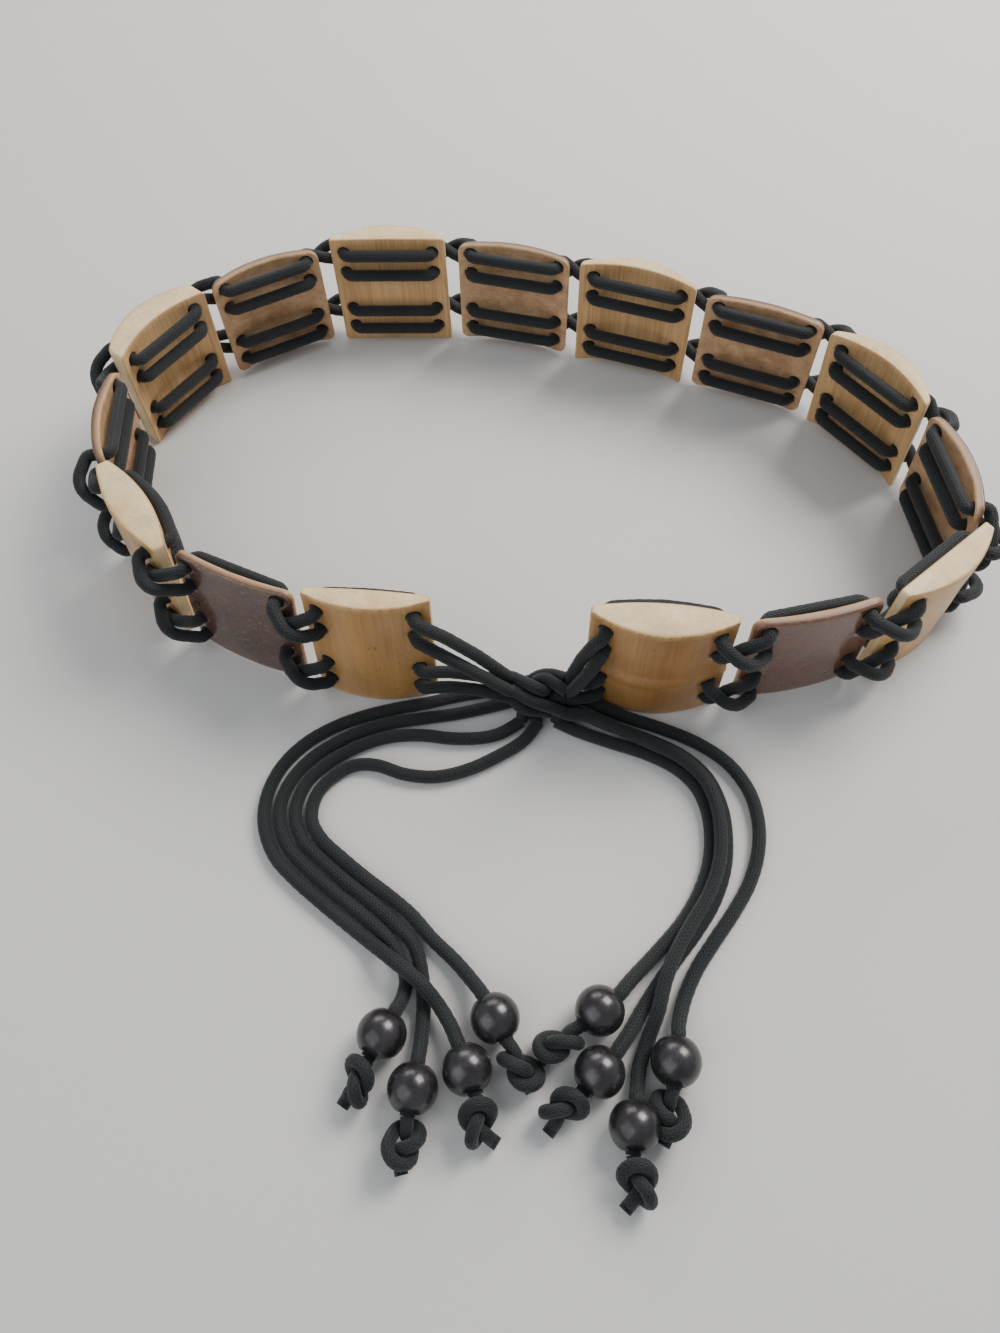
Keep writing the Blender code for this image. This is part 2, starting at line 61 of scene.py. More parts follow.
def maths(tree, operation, *values):
    return addNode(tree, "ShaderNodeMath", dict(enumerate(values)), operation=operation).outputs[0]


def spread(tree, value, low, high, newLow=0.0, newHigh=1.0):
    inputs = {"Value": value, "From Min": low, "From Max": high, "To Min": newLow, "To Max": newHigh}
    return addNode(tree, "ShaderNodeMapRange", inputs).outputs["Result"]


def blendColours(tree, share, first, second, way="MIX"):
    node = addNode(tree, "ShaderNodeMix", data_type="RGBA", blend_type=way)
    for index, value in ((0, share), (6, first), (7, second)):
        if isinstance(value, bpy.types.NodeSocket):
            tree.links.new(value, node.inputs[index])
        else:
            node.inputs[index].default_value = value if index == 0 else (*value, 1.0)
    return node.outputs[2]


def stretched(tree, vector, scale, shift=(0, 0, 0)):
    inputs = {"Vector": vector, "Scale": scale, "Location": shift}
    return addNode(tree, "ShaderNodeMapping", inputs).outputs["Vector"]


def noiseOf(tree, vector, scale, detail=3.0, roughness=0.5):
    inputs = {"Vector": vector, "Scale": scale, "Detail": detail, "Roughness": roughness}
    return addNode(tree, "ShaderNodeTexNoise", inputs).outputs["Fac"]


def readAttribute(tree, name, output="Vector"):
    return addNode(tree, "ShaderNodeAttribute", attribute_name=name).outputs[output]


def newGroup(name, kind, inputs, outputs):
    tree = bpy.data.node_groups.new(name, kind)
    for label, socketType, value in inputs:
        socket = tree.interface.new_socket(label, in_out="INPUT", socket_type=socketType)
        if value is not None:
            socket.default_value = value
    for label, socketType in outputs:
        tree.interface.new_socket(label, in_out="OUTPUT", socket_type=socketType)
    return tree, tree.nodes.new("NodeGroupInput"), tree.nodes.new("NodeGroupOutput")


def newMaterial(name, **shaderValues):
    material = bpy.data.materials.new(name)
    material.use_nodes = True
    shader = material.node_tree.nodes["Principled BSDF"]
    for label, value in shaderValues.items():
        shader.inputs[label].default_value = value
    return material, material.node_tree, shader


def useGroup(tree, group, **inputs):
    node = tree.nodes.new("ShaderNodeGroup")
    node.node_tree = group
    for name, value in inputs.items():
        if isinstance(value, bpy.types.NodeSocket):
            tree.links.new(value, node.inputs[name])
        else:
            node.inputs[name].default_value = value
    return node.outputs


# Shader groups that several finishes share

def makeCaneGrain():
    # Fibres run up the plate, so they show as dots on a sawn end and as streaks on a face.
    tree, given, result = newGroup(
        "caneGrain", "ShaderNodeTree",
        [
            ("Place", "NodeSocketVector", None), ("Fineness", "NodeSocketFloat", 1.0),
            ("Stretch", "NodeSocketFloat", 0.03)
        ],
        [("Streaks", "NodeSocketFloat"), ("Clouds", "NodeSocketFloat"), ("Dots", "NodeSocketFloat")],
    )
    scale = addNode(
        tree, "ShaderNodeCombineXYZ",
        {0: given.outputs["Fineness"], 1: given.outputs["Fineness"], 2: given.outputs["Stretch"]}
    )
    long = addNode(
        tree, "ShaderNodeVectorMath", {0: given.outputs["Place"], 1: scale.outputs[0]},
        operation="MULTIPLY"
    ).outputs[0]
    streaks = noiseOf(tree, long, 0.9, 5.0, 0.65)
    clouds = noiseOf(tree, stretched(tree, given.outputs["Place"], (1, 1, 0.35)), 0.085, 3.0, 0.5)
    cells = addNode(tree, "ShaderNodeTexVoronoi", {"Vector": long, "Scale": 1.15, "Randomness": 0.9})
    tree.links.new(streaks, result.inputs["Streaks"])
    tree.links.new(clouds, result.inputs["Clouds"])
    tree.links.new(spread(tree, cells.outputs["Distance"], 0.10, 0.34, 1.0, 0.0), result.inputs["Dots"])
    return tree


def makeRimWear():
    # Wear is strongest on the rims, and broken up by noise.
    tree, given, result = newGroup(
        "rimWear", "ShaderNodeTree",
        [
            ("Place", "NodeSocketVector", None), ("Rim", "NodeSocketFloat", 0.0),
            ("Amount", "NodeSocketFloat", 1.0), ("Size", "NodeSocketFloat", 0.6)
        ],
        [("Wear", "NodeSocketFloat")],
    )
    patches = addNode(
        tree, "ShaderNodeTexNoise",
        {"Vector": given.outputs["Place"], "Scale": given.outputs["Size"], "Detail": 4.0}
    )
    broken = spread(tree, patches.outputs["Fac"], 0.35, 0.62)
    worn = maths(tree, "MULTIPLY", given.outputs["Rim"], maths(tree, "ADD", broken, 0.25))
    tree.links.new(maths(tree, "MULTIPLY", worn, given.outputs["Amount"]), result.inputs["Wear"])
    return tree


def makeDust():
    tree, given, result = newGroup(
        "fineDust", "ShaderNodeTree",
        [("Place", "NodeSocketVector", None), ("Amount", "NodeSocketFloat", 1.0)],
        [("Dust", "NodeSocketFloat")],
    )
    specks = noiseOf(tree, given.outputs["Place"], 1.9, 2.0, 0.7)
    tree.links.new(
        maths(tree, "MULTIPLY", spread(tree, specks, 0.60, 0.78), given.outputs["Amount"]),
        result.inputs["Dust"]
    )
    return tree


def makePlaitWeave():
    # Place holds the cosine and sine round the cord and the length along it, in millimetres.
    tree, given, result = newGroup(
        "plaitWeave", "ShaderNodeTree",
        [
            ("Place", "NodeSocketVector", None), ("Columns", "NodeSocketFloat", 7.0),
            ("Pitch", "NodeSocketFloat", 1.25), ("Slope", "NodeSocketFloat", 1.1)
        ],
        [("Height", "NodeSocketFloat"), ("Groove", "NodeSocketFloat")],
    )
    parts = addNode(tree, "ShaderNodeSeparateXYZ", {0: given.outputs["Place"]}).outputs
    turn = maths(tree, "DIVIDE", maths(tree, "ARCTAN2", parts[1], parts[0]), 2 * math.pi)
    column = maths(tree, "MULTIPLY", turn, given.outputs["Columns"])
    across = maths(
        tree, "MULTIPLY",
        maths(tree, "ABSOLUTE", maths(tree, "SUBTRACT", maths(tree, "FRACT", column), 0.5)), 2.0
    )
    along = maths(tree, "DIVIDE", parts[2], given.outputs["Pitch"])
    strand = maths(
        tree, "FRACT",
        maths(tree, "ADD", along, maths(tree, "MULTIPLY", across, given.outputs["Slope"]))
    )
    round_ = maths(tree, "SINE", maths(tree, "MULTIPLY", strand, math.pi))
    crown = maths(
        tree, "SUBTRACT", 1.0,
        maths(tree, "POWER", maths(tree, "ABSOLUTE", maths(tree, "SUBTRACT", maths(tree, "MULTIPLY", across, 2.0), 1.0)), 4.0)
    )
    height = maths(
        tree, "MULTIPLY", maths(tree, "POWER", round_, 0.6),
        maths(tree, "ADD", maths(tree, "MULTIPLY", crown, 0.6), 0.4)
    )
    tree.links.new(height, result.inputs["Height"])
    tree.links.new(maths(tree, "SUBTRACT", 1.0, height), result.inputs["Groove"])
    return tree


caneGrain = makeCaneGrain()
rimWear = makeRimWear()
fineDust = makeDust()
plaitWeave = makePlaitWeave()
print("shader groups made")


# Finishes

def finishSurface(tree, shader, colour, roughness, height, strength, distance):
    tree.links.new(colour, shader.inputs["Base Color"])
    tree.links.new(roughness, shader.inputs["Roughness"])
    bump = addNode(tree, "ShaderNodeBump", {"Strength": strength, "Distance": distance, "Height": height})
    tree.links.new(bump.outputs["Normal"], shader.inputs["Normal"])


def makeBambooSkin():
    material, tree, shader = newMaterial("bambooSkin", **{"Coat Weight": 0.18, "Coat Roughness": 0.22})
    place, tone = readAttribute(tree, "platePlace"), readAttribute(tree, "plateTone", "Fac")
    rim, red = readAttribute(tree, "rimShare", "Fac"), readAttribute(tree, "plateRed", "Fac")
    grain = useGroup(tree, caneGrain, Place=place, Fineness=0.9, Stretch=0.018)
    fine = useGroup(tree, caneGrain, Place=place, Fineness=3.2, Stretch=0.05)
    light = maths(
        tree, "ADD", maths(tree, "MULTIPLY", grain["Clouds"], 0.9),
        maths(tree, "MULTIPLY", grain["Streaks"], 0.5)
    )
    light = spread(tree, maths(tree, "ADD", light, maths(tree, "MULTIPLY", tone, 0.75)), 0.55, 1.55)
    colour = blendColours(tree, light, (0.235, 0.098, 0.022), (0.66, 0.375, 0.135))
    colour = blendColours(tree, maths(tree, "MULTIPLY", red, 0.55), colour, (0.30, 0.105, 0.022))
    hairs = maths(tree, "MULTIPLY", spread(tree, fine["Streaks"], 0.52, 0.68), 0.38)
    colour = blendColours(tree, hairs, colour, (0.20, 0.085, 0.022))
    spots = spread(tree, noiseOf(tree, place, 0.42, 2.0, 0.6), 0.66, 0.74, 0.0, 0.5)
    colour = blendColours(tree, spots, colour, (0.12, 0.045, 0.015))
    wear = useGroup(tree, rimWear, Place=place, Rim=rim, Amount=0.8)["Wear"]
    colour = blendColours(tree, wear, colour, (0.72, 0.47, 0.20))
    dust = useGroup(tree, fineDust, Place=place, Amount=0.10)["Dust"]
    colour = blendColours(tree, dust, colour, (0.75, 0.66, 0.52))
    roughness = spread(tree, maths(tree, "ADD", fine["Streaks"], wear), 0.3, 1.0, 0.30, 0.55)
    finishSurface(tree, shader, colour, roughness, fine["Streaks"], 0.35, 0.00012)
    return material


def makeBambooInside():
    material, tree, shader = newMaterial("bambooInside", **{"Coat Weight": 0.05})
    place, tone = readAttribute(tree, "platePlace"), readAttribute(tree, "plateTone", "Fac")
    grain = useGroup(tree, caneGrain, Place=place, Fineness=1.3, Stretch=0.03)
    light = spread(
        tree, maths(tree, "ADD", grain["Streaks"], maths(tree, "MULTIPLY", grain["Clouds"], 0.7)), 0.55,
        1.15
    )
    light = maths(tree, "ADD", light, maths(tree, "MULTIPLY", tone, 0.2))
    colour = blendColours(tree, light, (0.37, 0.185, 0.062), (0.72, 0.46, 0.215))
    lines = maths(tree, "MULTIPLY", grain["Dots"], 0.35)
    colour = blendColours(tree, lines, colour, (0.26, 0.12, 0.04))
    roughness = spread(tree, grain["Streaks"], 0.3, 0.7, 0.50, 0.72)
    finishSurface(tree, shader, colour, roughness, grain["Streaks"], 0.55, 0.00018)
    return material


def makeBambooCut():
    material, tree, shader = newMaterial("bambooCut", **{"Coat Weight": 0.04})
    place, depth = readAttribute(tree, "platePlace"), readAttribute(tree, "depthShare", "Fac")
    grain = useGroup(tree, caneGrain, Place=place, Fineness=1.75, Stretch=0.035)
    broad = useGroup(tree, caneGrain, Place=place, Fineness=0.6, Stretch=0.03)
    light = spread(
        tree, maths(tree, "ADD", broad["Clouds"], maths(tree, "MULTIPLY", broad["Streaks"], 0.6)), 0.5,
        1.1
    )
    colour = blendColours(tree, light, (0.70, 0.46, 0.21), (0.93, 0.76, 0.46))
    # the bundles of fibres are dark, and lie closer together towards the skin
    packed = spread(tree, depth, 0.0, 0.7, 0.62, 0.22)
    colour = blendColours(tree, maths(tree, "MULTIPLY", grain["Dots"], packed), colour, (0.36, 0.20, 0.085))
    skin = spread(tree, depth, 0.02, 0.12, 0.85, 0.0)
    colour = blendColours(tree, skin, colour, (0.50, 0.27, 0.085))
    grey = maths(tree, "MULTIPLY", spread(tree, noiseOf(tree, place, 0.16, 3.0, 0.6), 0.54, 0.70), 0.35)
    colour = blendColours(tree, grey, colour, (0.46, 0.40, 0.31))
    roughness = spread(tree, grain["Streaks"], 0.3, 0.7, 0.48, 0.70)
    finishSurface(tree, shader, colour, roughness, grain["Dots"], 0.4, 0.00015)
    return material


def makeShellFace():
    material, tree, shader = newMaterial("coconutFace", **{"Coat Weight": 0.45, "Coat Roughness": 0.16})
    place, tone = readAttribute(tree, "platePlace"), readAttribute(tree, "plateTone", "Fac")
    rim, red = readAttribute(tree, "rimShare", "Fac"), readAttribute(tree, "plateRed", "Fac")
    clouds = noiseOf(tree, place, 0.09, 3.0, 0.55)
    light = spread(tree, maths(tree, "ADD", clouds, maths(tree, "MULTIPLY", tone, 0.4)), 0.40, 1.0)
    colour = blendColours(tree, light, (0.030, 0.014, 0.010), (0.125, 0.058, 0.036))
    colour = blendColours(tree, maths(tree, "MULTIPLY", red, 0.6), colour, (0.165, 0.055, 0.028))
    # short pale fibres lie mostly along the belt
    bent = addNode(
        tree, "ShaderNodeTexNoise", {"Vector": place, "Scale": 0.22, "Detail": 2.0}
    ).outputs["Color"]
    bentPlace = addNode(
        tree, "ShaderNodeVectorMath", {0: bent, 1: (7, 7, 7), 2: place}, operation="MULTIPLY_ADD"
    ).outputs[0]
    flecks = spread(
        tree, noiseOf(tree, stretched(tree, bentPlace, (0.30, 1.0, 1.7)), 0.85, 3.0, 0.6), 0.60, 0.70
    )
    tiny = spread(tree, noiseOf(tree, stretched(tree, place, (0.5, 1.0, 1.2)), 2.1, 2.0, 0.6), 0.66, 0.76)
    colour = blendColours(tree, maths(tree, "MULTIPLY", flecks, 0.75), colour, (0.36, 0.20, 0.115))
    colour = blendColours(tree, maths(tree, "MULTIPLY", tiny, 0.55), colour, (0.46, 0.30, 0.19))
    wear = useGroup(tree, rimWear, Place=place, Rim=rim, Amount=0.45)["Wear"]
    colour = blendColours(tree, wear, colour, (0.27, 0.145, 0.08))
    dust = useGroup(tree, fineDust, Place=place, Amount=0.08)["Dust"]
    colour = blendColours(tree, dust, colour, (0.5, 0.42, 0.34))
    roughness = spread(
        tree, maths(tree, "ADD", flecks, maths(tree, "MULTIPLY", clouds, 0.8)), 0.2, 1.3, 0.24, 0.48
    )
    height = maths(tree, "SUBTRACT", clouds, maths(tree, "MULTIPLY", flecks, 0.25))
    finishSurface(tree, shader, colour, roughness, height, 0.35, 0.0002)
    return material


def makeShellInside():
    material, tree, shader = newMaterial("coconutInside", **{"Coat Weight": 0.12, "Coat Roughness": 0.3})
    place = readAttribute(tree, "platePlace")
    patches = noiseOf(tree, place, 0.13, 5.0, 0.6)
    scratches = noiseOf(tree, stretched(tree, place, (0.6, 1.0, 2.4)), 0.8, 3.0, 0.6)
    light = spread(tree, maths(tree, "ADD", patches, maths(tree, "MULTIPLY", scratches, 0.5)), 0.5, 1.0)
    colour = blendColours(tree, light, (0.33, 0.17, 0.075), (0.66, 0.43, 0.23))
    spots = spread(tree, noiseOf(tree, place, 0.55, 3.0, 0.6), 0.62, 0.72, 0.0, 0.55)
    colour = blendColours(tree, spots, colour, (0.17, 0.075, 0.035))
    roughness = spread(tree, scratches, 0.3, 0.7, 0.42, 0.65)
    finishSurface(tree, shader, colour, roughness, scratches, 0.4, 0.00018)
    return material


def makeShellCut():
    material, tree, shader = newMaterial("coconutCut", **{"Coat Weight": 0.1})
    place, depth = readAttribute(tree, "platePlace"), readAttribute(tree, "depthShare", "Fac")
    grain = noiseOf(tree, place, 0.9, 4.0, 0.65)
    layers = spread(tree, maths(tree, "ADD", depth, maths(tree, "MULTIPLY", grain, 0.25)), 0.25, 0.95)
    colour = blendColours(tree, layers, (0.07, 0.03, 0.018), (0.50, 0.30, 0.155))
    roughness = spread(tree, grain, 0.3, 0.7, 0.40, 0.62)
    finishSurface(tree, shader, colour, roughness, grain, 0.4, 0.00012)
    return material


def makeCordFinish():
    material, tree, shader = newMaterial(
        "blackBraid", **{"Sheen Weight": 0.12, "Sheen Roughness": 0.45, "Specular IOR Level": 0.35}
    )
    place = readAttribute(tree, "braidPlace")
    weave = useGroup(tree, plaitWeave, Place=place, Columns=7.0, Pitch=1.3, Slope=1.1)
    objectPlace = addNode(tree, "ShaderNodeTexCoord").outputs["Object"]
    worn = noiseOf(tree, objectPlace, 90.0, 3.0, 0.55)
    # painted shade: the grooves between the strands are coloured darker than the crowns, where shade falls
    colour = blendColours(tree, weave["Height"], (0.0022, 0.0026, 0.0030), (0.0165, 0.0205, 0.0225))
    colour = blendColours(tree, spread(tree, worn, 0.45, 0.75, 0.0, 0.45), colour, (0.024, 0.025, 0.023))
    fuzz = spread(tree, noiseOf(tree, objectPlace, 1600.0, 2.0, 0.7), 0.60, 0.80, 0.0, 0.35)
    colour = blendColours(tree, fuzz, colour, (0.045, 0.050, 0.052))
    roughness = spread(tree, weave["Groove"], 0.0, 1.0, 0.55, 0.9)
    finishSurface(tree, shader, colour, roughness, weave["Height"], 0.85, 0.00022)
    return material


def makeBeadFinish():
    material, tree, shader = newMaterial(
        "satinBead", **{"Metallic": 0.72, "Coat Weight": 0.25, "Coat Roughness": 0.18}
    )
    place = addNode(tree, "ShaderNodeTexCoord").outputs["Object"]
    clouds = noiseOf(tree, place, 220.0, 3.0, 0.55)
    colour = blendColours(tree, spread(tree, clouds, 0.3, 0.7), (0.040, 0.036, 0.037), (0.080, 0.076, 0.080))
    rim = readAttribute(tree, "rimShare", "Fac")
    millimetres = stretched(tree, place, (1000, 1000, 1000))
    wear = useGroup(tree, rimWear, Place=millimetres, Rim=rim, Amount=0.7, Size=1.4)["Wear"]
    colour = blendColours(tree, wear, colour, (0.16, 0.15, 0.145))
    dust = useGroup(tree, fineDust, Place=millimetres, Amount=0.12)["Dust"]
    colour = blendColours(tree, dust, colour, (0.22, 0.21, 0.20))
    scuffs = noiseOf(tree, place, 900.0, 4.0, 0.65)
    roughness = spread(tree, scuffs, 0.3, 0.75, 0.22, 0.40)
    finishSurface(tree, shader, colour, roughness, scuffs, 0.12, 0.00005)
    return material


finishes = {
    "bamboo": [makeBambooSkin(), makeBambooInside(), makeBambooCut()],
    "shell": [makeShellFace(), makeShellInside(), makeShellCut()],
    "cord": makeCordFinish(),
    "bead": makeBeadFinish(),
}
print("finishes made:", len(bpy.data.materials))


# Camera and studio

camera = {
    "place": (-0.010441, -0.232545, 0.2917),
    "pitch": 28.57,  # degrees up from looking straight down
    "roll": -2.97,
    "lens": 26.166,
}

studio = {
    "floorColour": (0.70, 0.68, 0.65),
    "worldColour": (0.86, 0.92, 1.0),
    "worldStrength": 0.42,
    # name, place, aim, width, height, watts, colour
    "lamps": [
        ("windowLamp", (0.62, 0.42, 0.78), (0.0, -0.04, 0.02), 0.55, 0.55, 13.5, (1.0, 0.97, 0.93)),
        ("fillLamp", (-0.70, -0.55, 0.80), (0.0, -0.05, 0.0), 1.1, 1.1, 5.0, (0.93, 0.96, 1.0)),
        ("backLamp", (-0.15, 0.85, 0.50), (0.0, 0.0, 0.02), 0.7, 0.4, 3.2, (1.0, 0.98, 0.95)),
    ],
}


def addCamera():
    data = bpy.data.cameras.new("photoCamera")
    data.lens = camera["lens"]
    data.sensor_width = 36.0
    obj = bpy.data.objects.new("photoCamera", data)
    turn = Matrix.Rotation(
        math.radians(camera["pitch"]), 4, "X"
    ) @ Matrix.Rotation(math.radians(camera["roll"]), 4, "Z")
    obj.matrix_world = Matrix.Translation(camera["place"]) @ turn
    bpy.context.scene.collection.objects.link(obj)
    bpy.context.scene.camera = obj


def addFloor():
    material, tree, shader = newMaterial("paleFloor", Roughness=0.85)
    place = addNode(tree, "ShaderNodeTexCoord").outputs["Object"]
    tint = spread(tree, noiseOf(tree, place, 3.0, 2.0, 0.5), 0.3, 0.7)
    base = studio["floorColour"]
    colour = blendColours(tree, tint, tuple(0.985 * c for c in base), base)
    tree.links.new(colour, shader.inputs["Base Color"])
    bm = bmesh.new()
    bmesh.ops.create_grid(bm, x_segments=1, y_segments=1, size=3.0)
    mesh = bpy.data.meshes.new("floor")
    bm.to_mesh(mesh)
    bm.free()
    mesh.materials.append(material)
    floor = bpy.data.objects.new("floor", mesh)
    bpy.context.scene.collection.objects.link(floor)


def addLamps():
    world = bpy.data.worlds.new("softRoom")
    bpy.context.scene.world = world
    world.use_nodes = True
    background = world.node_tree.nodes["Background"]
    background.inputs["Color"].default_value = (*studio["worldColour"], 1.0)
    background.inputs["Strength"].default_value = studio["worldStrength"]
    for name, place, aim, width, height, watts, colour in studio["lamps"]:
        data = bpy.data.lights.new(name, "AREA")
        data.shape = "RECTANGLE"
        data.size, data.size_y = width, height
        data.energy = watts
        data.color = colour
        obj = bpy.data.objects.new(name, data)
        way = Vector(aim) - Vector(place)
        obj.matrix_world = Matrix.Translation(place) @ way.to_track_quat("-Z", "Y").to_matrix().to_4x4()
        bpy.context.scene.collection.objects.link(obj)


addCamera()
addFloor()
addLamps()
print("camera, floor and lamps set")


# Cords

cord = {
    "diameter": 4.2,
    "sides": 16,
    "step": 1.0,
    "relief": 0.07,     # height of the plait's bumps
    "bumps": 5,         # round the cord
    "plait": 3.0,       # along the cord, from one bump to the next but one
    "gap": 0.3,         # left between a cord and what it touches
    "floorGap": 0.1,
    "mouthBend": 2.45,  # radius where a cord turns out of a hole
    "crossBend": 9.0,
    "spanBend": 14.0,
    "seatRun": 1.5,
    "rows": (7.0, 15.5, 32.0, 40.5),
    "rowSpacing": 8.5,
}
cordRadius = cord["diameter"] / 2

tie = {
    "place": (2.27, -87.75),
    "length": 16.0,
    "height": 15.6,
    "forward": 6.5,
    "share": 0.31,
    "cordWidth": 3.9,   # of a cord drawn tight in the knot
}

# Routes of the loose cords from the foot of the tie. Each ends just before its bead.
looseRoutes = [
    [
        (-8.4, 3.4, 3.9), (-17, 3.4, 2.4), (-27, 2.4, 2.2), (-38, 0.4, 2.2), (-49, -1.2, 2.2),
        (-59, -3.4, 2.2), (-69, -7, 2.2), (-78, -12.4, 2.2), (-85, -20, 2.2), (-89, -29.5, 2.2),
        (-89.3, -39.5, 2.2), (-85.5, -49.5, 2.2), (-78.5, -57.5, 2.2), (-70, -65.2, 2.2),
        (-62, -72, 2.2), (-55.5, -77.5, 3), (-51.5, -81, 5.4), (-47.5, -84.5, 7.2),
        (-43, -88.2, 7.3), (-39, -92, 7.2), (-35, -97, 5.2), (-31.8, -102.5, 5),
    ],
    [
        (-8.4, -1.2, 3.9), (-17, -2.4, 2.3), (-28, -4.2, 2.2), (-39, -5.2, 2.2),
        (-49, -6.2, 2.2), (-58.5, -8.4, 2.2), (-67.2, -12.2, 2.2), (-75, -17.2, 2.2),
        (-80.9, -23.8, 2.2), (-84.2, -31.3, 2.2), (-84.4, -39, 2.2), (-81.4, -46.8, 2.2),
        (-75.2, -54, 2.2), (-66.8, -61.7, 2.2), (-59, -68.3, 2.2), (-51, -75.6, 2.2),
        (-46.9, -81.9, 2.2), (-44.6, -88.5, 2.3), (-45.4, -94.2, 4.2),
    ],
    [
        (-6.6, -8.6, 3.2), (-14, -12.2, 2.2), (-21, -13.4, 2.2), (-30, -13, 2.2),
        (-39, -11.4, 2.2), (-48.5, -11.2, 2.2), (-57, -13, 2.2), (-65, -16.4, 2.2),
        (-72, -21, 2.2), (-77, -26.6, 2.2), (-79.4, -33.2, 2.2), (-79.3, -39.4, 2.2),
        (-76.4, -45.8, 2.2), (-71, -51.4, 2.2), (-63.2, -58.7, 2.2), (-55.5, -65.2, 2.2),
        (-48, -72.3, 2.2), (-42.1, -79.4, 2.2), (-40, -88, 2.2), (-39.6, -97, 2.2),
        (-40.2, -106, 4),
    ],
    [
        (-1, -9.2, 3.2), (-6.4, -15.2, 2.2), (-15, -20.2, 2.2), (-25, -24.4, 2.2),
        (-35, -26.2, 2.2), (-45, -24.8, 2.2), (-54, -21.2, 2.2), (-61.4, -20.8, 2.2),
        (-67.8, -24, 2.2), (-72.5, -29, 2.2), (-74.4, -34.8, 2.2), (-74, -40, 2.2),
        (-70.6, -45.6, 2.2), (-64.8, -51.2, 2.2), (-57.4, -57.8, 2.2), (-49.8, -64, 2.2),
        (-43, -70.2, 2.2), (-37, -77.4, 2.2), (-30, -84.6, 2.6), (-24.4, -91.8, 4.8),
    ],
    [
        (9.3, 0.8, 3.9), (17.5, -3, 2.3), (28.5, -8.8, 2.2), (39, -13.4, 2.2),
        (49.8, -19.2, 2.2), (58.4, -26.6, 2.2), (63.6, -36, 2.2), (65, -46, 2.2),
        (63.4, -56, 2.2), (59.2, -65.6, 2.2), (53, -74.2, 2.2), (46, -82.4, 2.2),
        (39.8, -90, 2.2), (35.2, -97.6, 3), (32.2, -104.6, 5),
    ],
    [
        (4.6, -9.2, 3), (12, -13, 2.2), (22, -17.4, 2.2), (32.5, -21.8, 2.2),
        (41.4, -27.2, 2.2), (47.2, -34, 2.2), (49.6, -42, 2.2), (49.6, -50.6, 2.2),
        (47.6, -59.6, 2.2), (43.2, -68.6, 2.2), (37.2, -76.6, 2.2), (29.6, -84, 2.6),
        (20.6, -92.2, 5),
    ],
    [
        (9.3, -4.2, 3.9), (16.5, -8.2, 2.3), (25.5, -13, 2.2), (35, -17.6, 2.2),
        (44.4, -23.4, 2.2), (51.2, -31.2, 2.2), (54.3, -41.2, 2.2), (54.3, -51.2, 2.2),
        (52.2, -61.2, 2.2), (47.6, -70.8, 2.2), (41.2, -79.2, 2.2), (34.6, -86.4, 2.2),
        (28.4, -93.4, 2.2), (23, -100.2, 2.6), (18.6, -106.2, 4.6),
    ],
    [
        (8, -9, 7.6), (17, -10.4, 6.6), (27, -16, 6.1), (34, -19.8, 6.1),
        (42.9, -25.3, 6.1), (49.3, -32.6, 6.1), (52, -41.6, 6.1), (52, -50.9, 6.1),
        (50, -60.4, 6.1), (45.4, -69.7, 6.1), (39.2, -78, 6.2), (33.6, -86, 6.8),
        (29.4, -94, 6.9), (26.6, -101.6, 6.4), (23, -109, 3.4), (19.8, -116.2, 3),
        (18.4, -122, 5.2),
    ],
]


